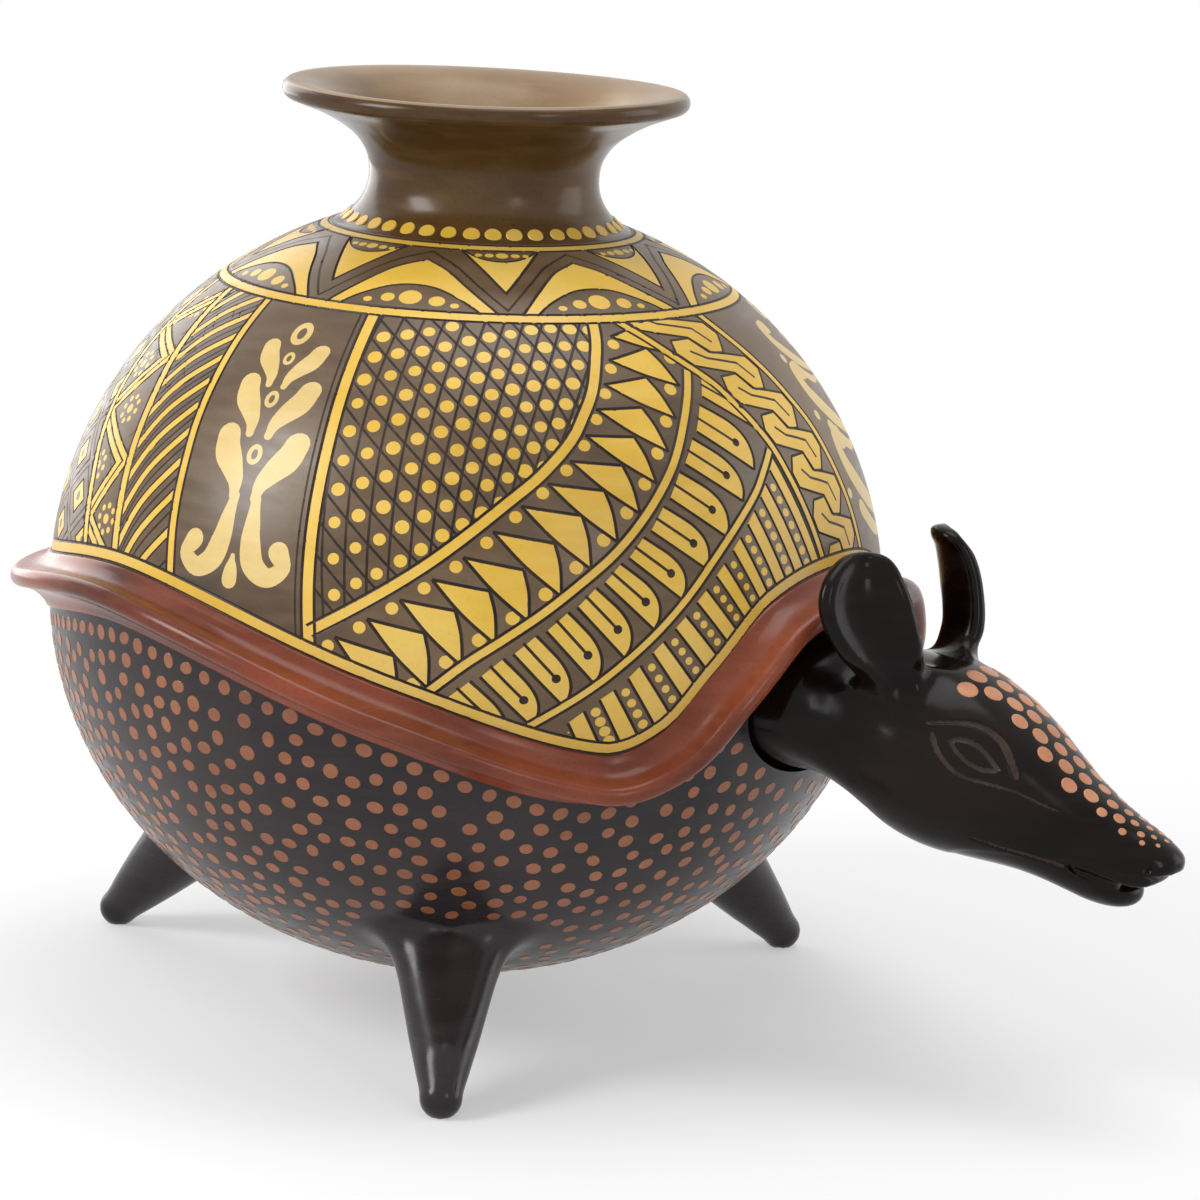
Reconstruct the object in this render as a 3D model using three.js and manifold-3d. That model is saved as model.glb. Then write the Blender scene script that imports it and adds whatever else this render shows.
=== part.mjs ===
// Armadillo effigy vessel in burnished clay: a round three-footed body whose carapace
// brim rises in an arch over a nodding head. Millimetres, +Z up, the nose along +X.
import * as THREE from 'three'
import { mergeVertices } from 'three/addons/utils/BufferGeometryUtils.js'
import Module from 'manifold-3d'

const wasm = await Module()
wasm.setup()

// Driving dimensions of the body
const bodyRadius = 115
const bodyHeight = 214
const domeShare = 0.51
const bellyClearance = 10.6
const wall = 7
const fitGap = 0.3

// The mouth: a short waist that opens into a flat lip
const shoulderDrop = 8.7
const throatRadius = 26.5
const waistRadius = 31.4
const waistRise = 15
const flareRise = 14
const flareRadius = 42
const lipRadius = 55.4
const lipHeight = 10
const lipEdge = 5

// The carapace brim, and how high it runs above the belly line
const brimReach = 10.6
const archReach = 12.4
const brimDepth = 15
const archBrimDepth = 12
const brimLip = 4.8
const brimShoulder = 4.5
const brimEdge = 0.9
const archClearance = 13.8
const archHalfAngle = 41.5
const frontDip = 19.6
const sideRise = 16.6
const sideAngle = 116
const tailRise = 4
const seamDepth = 5

// The neck and its opening under the arch
const neckHalfWidth = 36
const neckHalfHeight = 20
const neckDrop = 11.8
const neckClearance = 1.6
const neckWall = 6
const neckLead = 3
const neckReach = 15
const neckTail = 8
const napeDrop = 4.5
const jawDrop = 5.5

// The cross pin and the two cradles that carry it
const pinRadius = 3
const pinOverhang = 11
const pinWallRoom = 2
const cradleWidth = 7
const cradleReach = 6
const cradleFloor = 5

// The clay weight behind the pin, which balances the head
const weightLength = 69
const weightHalfWidth = 33
const weightHalfHeight = 32

// The head, from its joint with the neck to the nose
const headLength = 85.6
const headDepth = 52
const headJointHalfWidth = 31
const headWall = 7
const headHollow = 54
const mouthLength = 46
const mouthHeight = 2.4
const mouthBite = 3.6

// The ears
const earBack = 11.6
const earOffset = 23
const earRise = 6.5
const earLean = 16
const earSplay = 15
const earTurn = 40
const earLength = 42
const earWidth = 20.4
const earDepth = 12
const earThickness = 2.4
const earSink = 2.5

// The three feet
const footInset = 1.7
const footTilt = 47
const footTipRadius = 5
const footLength = 44
const footTopRadius = 18.5
const soleDepth = 0.7
const frontFootAngle = 61.5

// How finely the round pieces are faceted
const bodySteps = 60
const brimSteps = 72
const wallRows = 9
const mouthSteps = 40
const footSteps = 20
const headSteps = 24

// Sizes that follow from the ones above
const domeRise = bodyHeight * domeShare
const bowlDrop = bodyHeight - domeRise
const bellyZ = bellyClearance + bowlDrop
const shoulderZ = bellyZ + domeRise - shoulderDrop
const neckZ = bellyZ - neckDrop
const archRise = neckHalfHeight - neckDrop + archClearance
const flareZ = shoulderZ + waistRise + flareRise
const lipTopZ = flareZ + lipHeight

const clay = {
  painted: new THREE.MeshStandardMaterial({ color: 0xcfa84a, roughness: 0.3, metalness: 0 }),
  brown: new THREE.MeshStandardMaterial({ color: 0x5e4b34, roughness: 0.28, metalness: 0 }),
  red: new THREE.MeshStandardMaterial({ color: 0x6e3326, roughness: 0.28, metalness: 0 }),
  dotted: new THREE.MeshStandardMaterial({ color: 0x3a3032, roughness: 0.3, metalness: 0 }),
  black: new THREE.MeshStandardMaterial({ color: 0x1c1517, roughness: 0.25, metalness: 0 }),
  raw: new THREE.MeshStandardMaterial({ color: 0x9c6a48, roughness: 0.8, metalness: 0 }),
  wood: new THREE.MeshStandardMaterial({ color: 0x8a6238, roughness: 0.6, metalness: 0 })
}

const assembly = new THREE.Group()
const radians = THREE.MathUtils.degToRad

function addPiece(name, geometry, material) {
  const mesh = new THREE.Mesh(geometry, material)
  mesh.name = name
  assembly.add(mesh)
}

// Solids for cutting and joining
function toSolid(geometry) {
  const bare = geometry.clone()
  bare.deleteAttribute('normal')
  bare.deleteAttribute('uv')
  const merged = mergeVertices(bare, 1e-4)
  const triVerts = Uint32Array.from(merged.index.array)
  const vertProperties = Float32Array.from(merged.attributes.position.array)
  return new wasm.Manifold(new wasm.Mesh({ numProp: 3, vertProperties, triVerts }))
}

function toGeometry(solid) {
  const mesh = solid.getMesh()
  const geometry = new THREE.BufferGeometry()
  geometry.setAttribute('position', new THREE.BufferAttribute(mesh.vertProperties, 3))
  geometry.setIndex(new THREE.BufferAttribute(mesh.triVerts, 1))
  return geometry
}

// A closed skin over rings of points. A ring of one point is a pole, and a looped skin
// joins its last ring to its first. The faces are turned outwards at the end.
function skin(rings, looped = false) {
  const points = rings.flat()
  const starts = []
  let count = 0
  for (const ring of rings) {
    starts.push(count)
    count += ring.length
  }
  const faces = []
  const bands = looped ? rings.length : rings.length - 1
  for (let band = 0; band < bands; band++) {
    const next = (band + 1) % rings.length
    const [sizeA, sizeB] = [rings[band].length, rings[next].length]
    const steps = Math.max(sizeA, sizeB)
    for (let i = 0; i < steps; i++) {
      const a = starts[band] + i % sizeA
      const b = starts[band] + (i + 1) % sizeA
      const c = starts[next] + i % sizeB
      const d = starts[next] + (i + 1) % sizeB
      if (sizeA > 1) faces.push([a, b, d])
      if (sizeB > 1) faces.push([a, d, c])
    }
  }
  let volume = 0
  for (const [a, b, c] of faces) {
    volume += points[a].dot(new THREE.Vector3().crossVectors(points[b], points[c]))
  }
  const index = faces.flatMap(([a, b, c]) => (volume > 0 ? [a, b, c] : [a, c, b]))
  const geometry = new THREE.BufferGeometry().setFromPoints(points)
  geometry.setIndex(index)
  return geometry
}

function lathe(profile, steps) {
  const outline = profile.map(([radius, height]) => new THREE.Vector2(radius, height))
  return new THREE.LatheGeometry(outline, steps).rotateX(Math.PI / 2)
}

// A smooth curve through [key, value] pairs
function through(pairs) {
  return (key) => {
    const last = pairs.length - 1
    if (key <= pairs[0][0]) return pairs[0][1]
    if (key >= pairs[last][0]) return pairs[last][1]
    const i = pairs.findIndex(([at]) => at > key) - 1
    const slope = (j) => {
      if (j === 0 || j === last) return 0
      return (pairs[j + 1][1] - pairs[j - 1][1]) / (pairs[j + 1][0] - pairs[j - 1][0])
    }
    const span = pairs[i + 1][0] - pairs[i][0]
    const t = (key - pairs[i][0]) / span
    const [a, b] = [pairs[i][1], pairs[i + 1][1]]
    return a + t * t * (3 - 2 * t) * (b - a)
      + span * t * (1 - t) * ((1 - t) * slope(i) - t * slope(i + 1))
  }
}

// The body wall: an ellipse above the belly line and another below it. The latitude is
// measured from the belly line, and the inset goes inwards from the outer face.
function latitudeAt(z, inset = 0) {
  const rise = z > bellyZ ? domeRise - inset : bowlDrop - inset
  return Math.asin(THREE.MathUtils.clamp((z - bellyZ) / rise, -1, 1))
}

function wallPoint(azimuth, latitude, inset = 0) {
  const radius = (bodyRadius - inset) * Math.cos(latitude)
  const rise = latitude > 0 ? domeRise - inset : bowlDrop - inset
  return new THREE.Vector3(
    radius * Math.cos(azimuth), radius * Math.sin(azimuth), bellyZ + rise * Math.sin(latitude))
}

function wallRing(latitudeOf, inset) {
  return Array.from({ length: bodySteps }, (_, i) => {
    const azimuth = (2 * Math.PI * i) / bodySteps
    return wallPoint(azimuth, latitudeOf(azimuth), inset)
  })
}

// The height of the brim's upper edge above the belly line, by azimuth from the nose
const archCurve = through([
  [0, archRise],
  [archHalfAngle * 0.39, archRise * 0.74],
  [archHalfAngle * 0.64, -frontDip * 0.03],
  [archHalfAngle * 0.8, -frontDip * 0.72],
  [archHalfAngle, -frontDip],
  [archHalfAngle + (sideAngle - archHalfAngle) * 0.36, -frontDip * 0.2],
  [archHalfAngle + (sideAngle - archHalfAngle) * 0.74, sideRise * 0.76],
  [sideAngle, sideRise],
  [(sideAngle + 180) / 2, tailRise + (sideRise - tailRise) * 0.3],
  [180, tailRise]
])

// How far an azimuth lies to either side of the nose, in degrees
const offNose = (azimuth) => Math.abs(
  THREE.MathUtils.euclideanModulo(THREE.MathUtils.radToDeg(azimuth) + 180, 360) - 180)
const brimZ = (azimuth) => bellyZ + archCurve(offNose(azimuth))
const seamZ = (azimuth) => brimZ(azimuth) - seamDepth

// The pin lies just clear of the bowl's inner face, and the neck reaches past it
const pinHalfLength = neckHalfWidth + pinOverhang
const innerRadiusAtNeck = (bodyRadius - wall) * Math.cos(latitudeAt(neckZ, wall))
const pinX = Math.sqrt(innerRadiusAtNeck ** 2 - pinHalfLength ** 2) - pinRadius - pinWallRoom
const neckRear = pinX - pinRadius - neckTail
const headJoint = bodyRadius + neckReach

// Carapace: the wall above the seam, open at the shoulder for the mouth
function carapaceShell() {
  const shoulderLatitude = latitudeAt(shoulderZ)
  const throatLatitude = Math.acos(throatRadius / (bodyRadius - wall))
  const rings = []
  const rows = (inset, topLatitude) => Array.from({ length: wallRows }, (_, row) =>
    wallRing((azimuth) => THREE.MathUtils.lerp(
      latitudeAt(seamZ(azimuth) + fitGap, inset), topLatitude, row / (wallRows - 1)), inset))
  rings.push(...rows(0, shoulderLatitude))
  rings.push(Array.from({ length: bodySteps }, (_, i) => new THREE.Vector3(
    throatRadius * Math.cos((2 * Math.PI * i) / bodySteps),
    throatRadius * Math.sin((2 * Math.PI * i) / bodySteps), shoulderZ)))
  rings.push(...rows(wall, throatLatitude).reverse())
  return skin(rings, true)
}

// Bowl: the wall below the seam, closed at the bottom
const bowlPole = (inset) => [wallPoint(0, -Math.PI / 2, inset)]
const bowlRows = (inset) => Array.from({ length: wallRows }, (_, row) =>
  wallRing((azimuth) => THREE.MathUtils.lerp(
    latitudeAt(seamZ(azimuth) - fitGap, inset), -Math.PI / 2, row / wallRows), inset))

function bowlShell() {
  return skin([bowlPole(0), ...bowlRows(0).reverse(), ...bowlRows(wall), bowlPole(wall)])
}

// The bowl filled up to its rim, smaller or larger than the outer face by the inset. The
// rings run as they do on the bowl's own outer or inner face, so that the facets match.
function bowlFill(inset) {
  const lid = [new THREE.Vector3(0, 0, bellyZ)]
  const rings = [bowlPole(inset), ...bowlRows(inset).reverse(), lid]
  return toSolid(skin(inset > 0 ? rings.reverse() : rings))
}

// An oval in a plane across the head's axis
function ovalRing(x, top, bottom, halfWidth, steps = headSteps) {
  const centre = (top + bottom) / 2
  const halfHeight = (top - bottom) / 2
  return Array.from({ length: steps }, (_, i) => {
    const angle = (2 * Math.PI * i) / steps
    return new THREE.Vector3(
      x, halfWidth * Math.cos(angle), centre + halfHeight * Math.sin(angle))
  })
}

const capPoint = (x, z) => [new THREE.Vector3(x, 0, z)]

function ovalBar(x0, x1, halfWidth, halfHeight) {
  const ring = (x) => ovalRing(x, neckZ + halfHeight, neckZ - halfHeight, halfWidth)
  return skin([capPoint(x0, neckZ), ring(x0), ring(x1), capPoint(x1, neckZ)])
}

// Bowl with the opening for the neck
const neckHole = toSolid(ovalBar(
  neckRear, bodyRadius + brimReach, neckHalfWidth + neckClearance, neckHalfHeight + neckClearance))
addPiece('lower_bowl', toGeometry(toSolid(bowlShell()).subtract(neckHole)), clay.dotted)
addPiece('upper_dome', carapaceShell(), clay.painted)

// Brim: a cove, a round lip and an underside, swept along the wavy edge on the wall
function brimSection(depth, reach) {
  const lipR = brimLip / 2
  const lipCentre = reach - lipR
  const path = new THREE.Path()
  path.moveTo(0, fitGap)
  path.lineTo(0, fitGap + brimEdge)
  path.quadraticCurveTo(brimShoulder, lipCentre / 3, brimShoulder, lipCentre)
  path.absarc(brimShoulder + lipR, lipCentre, lipR, Math.PI, 0, true)
  path.quadraticCurveTo(brimShoulder + brimLip * 1.2, lipCentre / 3, depth, fitGap + brimEdge)
  path.lineTo(depth, fitGap)
  for (let i = 3; i > 0; i--) path.lineTo((depth * i) / 4, fitGap)
  return path.getPoints(3).slice(0, -1)
}

// Over the head the brim is shallower and reaches further out
function brimRing(azimuth) {
  const awayFromArch = THREE.MathUtils.smoothstep(
    offNose(azimuth), archHalfAngle * 0.6, archHalfAngle * 1.2)
  const section = brimSection(
    THREE.MathUtils.lerp(archBrimDepth, brimDepth, awayFromArch),
    THREE.MathUtils.lerp(archReach, brimReach, awayFromArch))
  const edge = (angle) => wallPoint(angle, latitudeAt(brimZ(angle)))
  const nudge = 0.002
  const start = edge(azimuth)
  const along = edge(azimuth + nudge).sub(edge(azimuth - nudge)).normalize()
  const squash = new THREE.Vector3(1, 1, bodyRadius / domeRise)
  const outward = (point) => new THREE.Vector3(point.x, point.y, point.z - bellyZ)
    .multiply(squash).multiply(squash).normalize()
  const down = new THREE.Vector3().crossVectors(along, outward(start)).normalize()
  if (down.z > 0) down.negate()
  return section.map(({ x: drop, y: reach }) => {
    const guess = start.clone().addScaledVector(down, drop)
    const angle = Math.atan2(guess.y, guess.x)
    const latitude = Math.atan2(
      (guess.z - bellyZ) / (guess.z > bellyZ ? domeRise : bowlDrop),
      Math.hypot(guess.x, guess.y) / bodyRadius)
    const foot = wallPoint(angle, latitude)
    return foot.addScaledVector(outward(foot), reach)
  })
}

const brimRings = Array.from({ length: brimSteps }, (_, i) => brimRing((2 * Math.PI * i) / brimSteps))
addPiece('carapace_brim', skin(brimRings, true), clay.red)

// Collar: the waist of the mouth, standing on the shoulder
const shoulderRadius = bodyRadius * Math.cos(latitudeAt(shoulderZ))
const collarOuter = new THREE.SplineCurve([
  [shoulderRadius, shoulderZ],
  [waistRadius + (shoulderRadius - waistRadius) * 0.34, shoulderZ + waistRise * 0.26],
  [waistRadius + (shoulderRadius - waistRadius) * 0.08, shoulderZ + waistRise * 0.6],
  [waistRadius, shoulderZ + waistRise],
  [waistRadius + (flareRadius - waistRadius) * 0.2, shoulderZ + waistRise + flareRise * 0.46],
  [waistRadius + (flareRadius - waistRadius) * 0.52, shoulderZ + waistRise + flareRise * 0.78],
  [flareRadius, flareZ]
].map(([radius, height]) => new THREE.Vector2(radius, height)))
const innerFlareRadius = flareRadius - wall
const collarInner = new THREE.SplineCurve([
  [innerFlareRadius, flareZ],
  [throatRadius + (innerFlareRadius - throatRadius) * 0.4, shoulderZ + waistRise + flareRise * 0.6],
  [throatRadius, shoulderZ + waistRise],
  [throatRadius, shoulderZ]
].map(([radius, height]) => new THREE.Vector2(radius, height)))
const asPairs = (curve, steps) => curve.getPoints(steps).map((point) => [point.x, point.y])
const collarProfile = [...asPairs(collarOuter, 8), ...asPairs(collarInner, 4)]
collarProfile.push(collarProfile[0])
addPiece('collar_neck', lathe(collarProfile, mouthSteps), clay.brown)

// Lip: the flat flared ring on top of the collar
const lipRound = lipEdge / 2
const lipOuter = new THREE.Path()
lipOuter.moveTo(flareRadius, flareZ)
lipOuter.quadraticCurveTo(
  flareRadius + (lipRadius - flareRadius) * 0.5, lipTopZ - lipEdge - lipHeight * 0.15,
  lipRadius - lipRound, lipTopZ - lipEdge)
lipOuter.absarc(lipRadius - lipRound, lipTopZ - lipRound, lipRound, -Math.PI / 2, Math.PI / 2, false)
lipOuter.quadraticCurveTo(
  innerFlareRadius + (lipRadius - innerFlareRadius) * 0.4, lipTopZ - lipHeight * 0.3,
  innerFlareRadius, flareZ)
const lipProfile = lipOuter.getPoints(3).map((point) => [point.x, point.y])
lipProfile.push(lipProfile[0])
addPiece('mouth_lip', lathe(lipProfile, mouthSteps), clay.brown)

// Feet: solid cones whose tips stand on the floor, cut to the bowl
const bowlCutter = bowlFill(-fitGap)
const footHeight = footTipRadius - soleDepth
const floorSlab = toSolid(new THREE.BoxGeometry(4 * bodyRadius, 4 * bodyRadius, bodyRadius)
  .translate(0, 0, -bodyRadius / 2))

function footCone() {
  const tip = new THREE.Path()
  tip.absarc(0, 0, footTipRadius, -Math.PI / 2, 0, false)
  const side = [
    [footTipRadius + (footTopRadius - footTipRadius) * 0.4, footLength * 0.5],
    [footTopRadius * 0.8, footLength * 0.8],
    [footTopRadius, footLength],
    [footTopRadius, footLength + footTopRadius],
    [0, footLength + footTopRadius]
  ]
  const profile = [...tip.getPoints(2).map((point) => [point.x, point.y]), ...side]
  profile[0][0] = 0
  return lathe(profile, footSteps)
}

const footAngles = [
  ['foot_front_right', -frontFootAngle], ['foot_front_left', frontFootAngle], ['foot_rear', 180]
]
for (const [name, degrees] of footAngles) {
  const cone = footCone()
    .rotateY(-radians(90 - footTilt))
    .translate(bodyRadius - footInset, 0, footHeight)
    .rotateZ(radians(degrees))
  addPiece(name, toGeometry(toSolid(cone).subtract(bowlCutter).subtract(floorSlab)), clay.black)
}

// Neck: an oval tube that passes the opening and carries the cross pin
const nape = neckZ + neckHalfHeight
const throat = neckZ - neckHalfHeight
const neckFront = bodyRadius + neckLead
const jointTop = nape - napeDrop
const jointBottom = throat - jawDrop

// The neck's skin, smaller than the outer face by the inset. It narrows from the wall
// to the head in two steps, the first of them gentle.
function neckSkin(inset, rear) {
  const ring = (x, narrowing) => ovalRing(x, nape - napeDrop * narrowing - inset,
    throat - jawDrop * narrowing + inset,
    THREE.MathUtils.lerp(neckHalfWidth, headJointHalfWidth, narrowing) - inset)
  const rings = [ring(rear, 0), ring(neckFront, 0),
    ring((neckFront + headJoint) / 2, 0.35), ring(headJoint, 1)]
  return toSolid(skin([capPoint(rear, neckZ), ...rings, capPoint(headJoint, neckZ)]))
}

const neckOuter = neckSkin(0, neckRear)
const neckInner = neckSkin(neckWall, neckRear - neckWall)
const pinBar = (radius, halfLength) => new THREE.CylinderGeometry(radius, radius, 2 * halfLength, 20)
  .translate(pinX, 0, neckZ)
const pinBore = toSolid(pinBar(pinRadius + fitGap, pinHalfLength + 1))
addPiece('neck_tube', toGeometry(neckOuter.subtract(neckInner).subtract(pinBore)), clay.black)
addPiece('cross_pin', pinBar(pinRadius, pinHalfLength), clay.wood)

// Cradles: clay lugs inside the bowl, each with a slot that is open upwards
const innerRoom = bowlFill(wall + fitGap)
const cradleInnerY = pinHalfLength - cradleWidth
for (const [name, side] of [['cradle_right', -1], ['cradle_left', 1]]) {
  const back = pinX - pinRadius - cradleReach
  const depth = bodyRadius - back
  const height = 2 * pinRadius + cradleFloor
  const block = toSolid(new THREE.BoxGeometry(depth, cradleWidth, height).translate(
    back + depth / 2, side * (cradleInnerY + cradleWidth / 2),
    neckZ + pinRadius - height / 2))
  const slotWidth = 2 * (pinRadius + fitGap)
  const slot = toSolid(new THREE.BoxGeometry(slotWidth, 3 * cradleWidth, 2 * pinRadius).translate(
    pinX, side * (cradleInnerY + cradleWidth / 2), neckZ + pinRadius))
  const seat = toSolid(pinBar(pinRadius + fitGap, pinHalfLength + cradleWidth))
  addPiece(name, toGeometry(block.subtract(slot).subtract(seat).intersect(innerRoom)), clay.raw)
}

// Counterweight: a rounded clay lump on the rear end of the neck
function counterweight() {
  const rings = [capPoint(neckRear, neckZ)]
  const steps = 7
  for (let i = 0; i < steps; i++) {
    const along = Math.sin((Math.PI / 2) * (i / steps))
    const girth = Math.sqrt(1 - along * along)
    rings.push(ovalRing(neckRear - weightLength * along,
      neckZ + weightHalfHeight * girth, neckZ - weightHalfHeight * girth, weightHalfWidth * girth))
  }
  rings.push(capPoint(neckRear - weightLength, neckZ))
  return skin(rings)
}
addPiece('counterweight', counterweight(), clay.raw)

// Head: ovals from the neck joint to the nose. Each row holds the share of the length,
// the top and the bottom from the neck's axis, and half the width.
const headRows = [
  [0.08, 0.272, -0.605, 0.935],
  [0.175, 0.275, -0.69, 0.877],
  [0.26, 0.257, -0.725, 0.832],
  [0.35, 0.2, -0.738, 0.781],
  [0.445, 0.1, -0.752, 0.723],
  [0.54, -0.012, -0.765, 0.639],
  [0.63, -0.144, -0.792, 0.548],
  [0.725, -0.265, -0.838, 0.458],
  [0.806, -0.345, -0.878, 0.394],
  [0.876, -0.395, -0.85, 0.342],
  [0.935, -0.445, -0.745, 0.284],
  [0.98, -0.5, -0.65, 0.187]
]
const noseDrop = 0.575
const noseX = headJoint + headLength

// One of those ovals, and the oval at the joint, both larger all round by what is grown
const headRing = ([share, top, bottom, width], grow) => ovalRing(
  headJoint + share * headLength, neckZ + top * headDepth + grow,
  neckZ + bottom * headDepth - grow, width * headJointHalfWidth + grow)
const jointRing = (x, grow) => ovalRing(
  x, jointTop + grow, jointBottom - grow, headJointHalfWidth + grow)

function headSkin(grow = 0) {
  const rings = headRows.map((row) => headRing(row, grow))
  const nose = capPoint(noseX + grow, neckZ - noseDrop * headDepth)
  return toSolid(skin([capPoint(headJoint, neckZ), jointRing(headJoint, grow), ...rings, nose]))
}

// The hollow in the back of the head, open to the neck
function headCavity() {
  const rear = headJoint - headWall
  const rows = headRows.filter(([share]) => share * headLength < headHollow)
  const [, top, bottom] = rows[rows.length - 1]
  const rings = rows.map((row) => headRing(row, -headWall))
  const end = capPoint(headJoint + headHollow, neckZ + ((top + bottom) / 2) * headDepth)
  return toSolid(skin([capPoint(rear, neckZ), jointRing(rear, -headWall), ...rings, end]))
}

// The mouth: a thin wedge cut back from the lips into each cheek
function mouthCut() {
  const front = neckZ - headDepth * 0.74
  const back = neckZ - headDepth * 0.56
  const bend = noseX - mouthLength * 0.4
  const shape = new THREE.Shape([
    new THREE.Vector2(noseX, front - mouthHeight / 2),
    new THREE.Vector2(noseX, front + mouthHeight / 2),
    new THREE.Vector2(bend, front + mouthHeight / 4),
    new THREE.Vector2(noseX - mouthLength, back),
    new THREE.Vector2(bend, front - mouthHeight / 4)
  ])
  const cut = new THREE.ExtrudeGeometry(shape, { depth: 2 * headJointHalfWidth, bevelEnabled: false })
  return toSolid(cut.rotateX(Math.PI / 2).translate(0, headJointHalfWidth, 0))
}

// What the mouth's cut leaves whole between the cheeks
function jaw() {
  const rings = headRows.slice(4).map(([share, top, bottom, width]) => headRing(
    [share, top, bottom, Math.max(width - mouthBite / headJointHalfWidth, 0.05)], 0))
  const capped = (ring) => capPoint(ring[0].x, (ring[0].z + ring[ring.length - 1].z) / 2)
  return toSolid(skin([capped(rings[0]), ...rings, capped(rings[rings.length - 1])]))
}

const headSolid = headSkin().subtract(headCavity()).subtract(mouthCut().subtract(jaw()))
addPiece('head', toGeometry(headSolid), clay.black)

// Ears: cupped spoons set into the crown and turned outwards
const headGrown = headSkin(fitGap)
const egg = (width, depth, length) => new THREE.SphereGeometry(1, 18, 10)
  .rotateX(Math.PI / 2).scale(depth / 2, width / 2, length / 2)
for (const [name, side] of [['ear_right', -1], ['ear_left', 1]]) {
  const outer = toSolid(egg(earWidth, earDepth, earLength))
  const hollow = toSolid(egg(
    earWidth - 2 * earThickness, earDepth, earLength - 3 * earThickness).translate(
    2 * earThickness, 0, earThickness / 2))
  const cup = toGeometry(outer.subtract(hollow))
  const turned = cup
    .translate(0, 0, earLength / 2 - earSink)
    .rotateZ(side * radians(earTurn))
    .rotateX(-side * radians(earSplay))
    .rotateY(-radians(earLean))
    .translate(headJoint + earBack, side * earOffset, neckZ + earRise)
  addPiece(name, toGeometry(toSolid(turned).subtract(headGrown)), clay.black)
}

// The origin lies on the floor, under the middle of the whole vessel's box
const box = new THREE.Box3().setFromObject(assembly)
assembly.position.x = -(box.min.x + box.max.x) / 2

export default assembly
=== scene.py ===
import math
import random

import bmesh
import bpy
import numpy as np
from mathutils import Matrix, Vector, kdtree
from mathutils.geometry import delaunay_2d_cdt


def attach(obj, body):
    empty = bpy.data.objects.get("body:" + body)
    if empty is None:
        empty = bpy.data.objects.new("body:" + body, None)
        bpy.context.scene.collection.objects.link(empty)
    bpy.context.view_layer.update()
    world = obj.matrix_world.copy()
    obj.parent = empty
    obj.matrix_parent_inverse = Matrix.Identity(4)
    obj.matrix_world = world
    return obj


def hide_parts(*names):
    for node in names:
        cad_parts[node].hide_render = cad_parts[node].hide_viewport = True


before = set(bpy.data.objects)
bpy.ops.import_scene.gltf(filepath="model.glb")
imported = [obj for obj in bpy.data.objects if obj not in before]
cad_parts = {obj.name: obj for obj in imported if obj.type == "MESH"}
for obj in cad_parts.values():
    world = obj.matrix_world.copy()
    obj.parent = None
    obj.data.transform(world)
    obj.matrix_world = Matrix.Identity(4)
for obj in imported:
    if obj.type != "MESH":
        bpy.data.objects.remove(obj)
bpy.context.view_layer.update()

mm = 0.001

# The body's wall: an ellipse above the belly line and another below it
body = dict(x=-45.024, radius=115.0, rise=109.14, drop=104.86, belly=115.46, wall=7.0)


# The height of the half that a point is in, from its place above or below the belly
def halfHeight(above):
    return body["rise"] if above > 0 else body["drop"]


# How much shorter a degree of azimuth is than one of latitude
def squeezeAt(latitude):
    return math.cos(math.radians(latitude))


def newMaterial(name, base, roughness, specular, coat=0.0, coatRoughness=0.12):
    material = bpy.data.materials.new(name)
    material.use_nodes = True
    shader = material.node_tree.nodes["Principled BSDF"]
    shader.inputs["Base Color"].default_value = (*base, 1)
    shader.inputs["Roughness"].default_value = roughness
    shader.inputs["Coat Weight"].default_value = coat
    shader.inputs["Coat Roughness"].default_value = coatRoughness
    shader.inputs["Specular IOR Level"].default_value = specular
    return material


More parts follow.
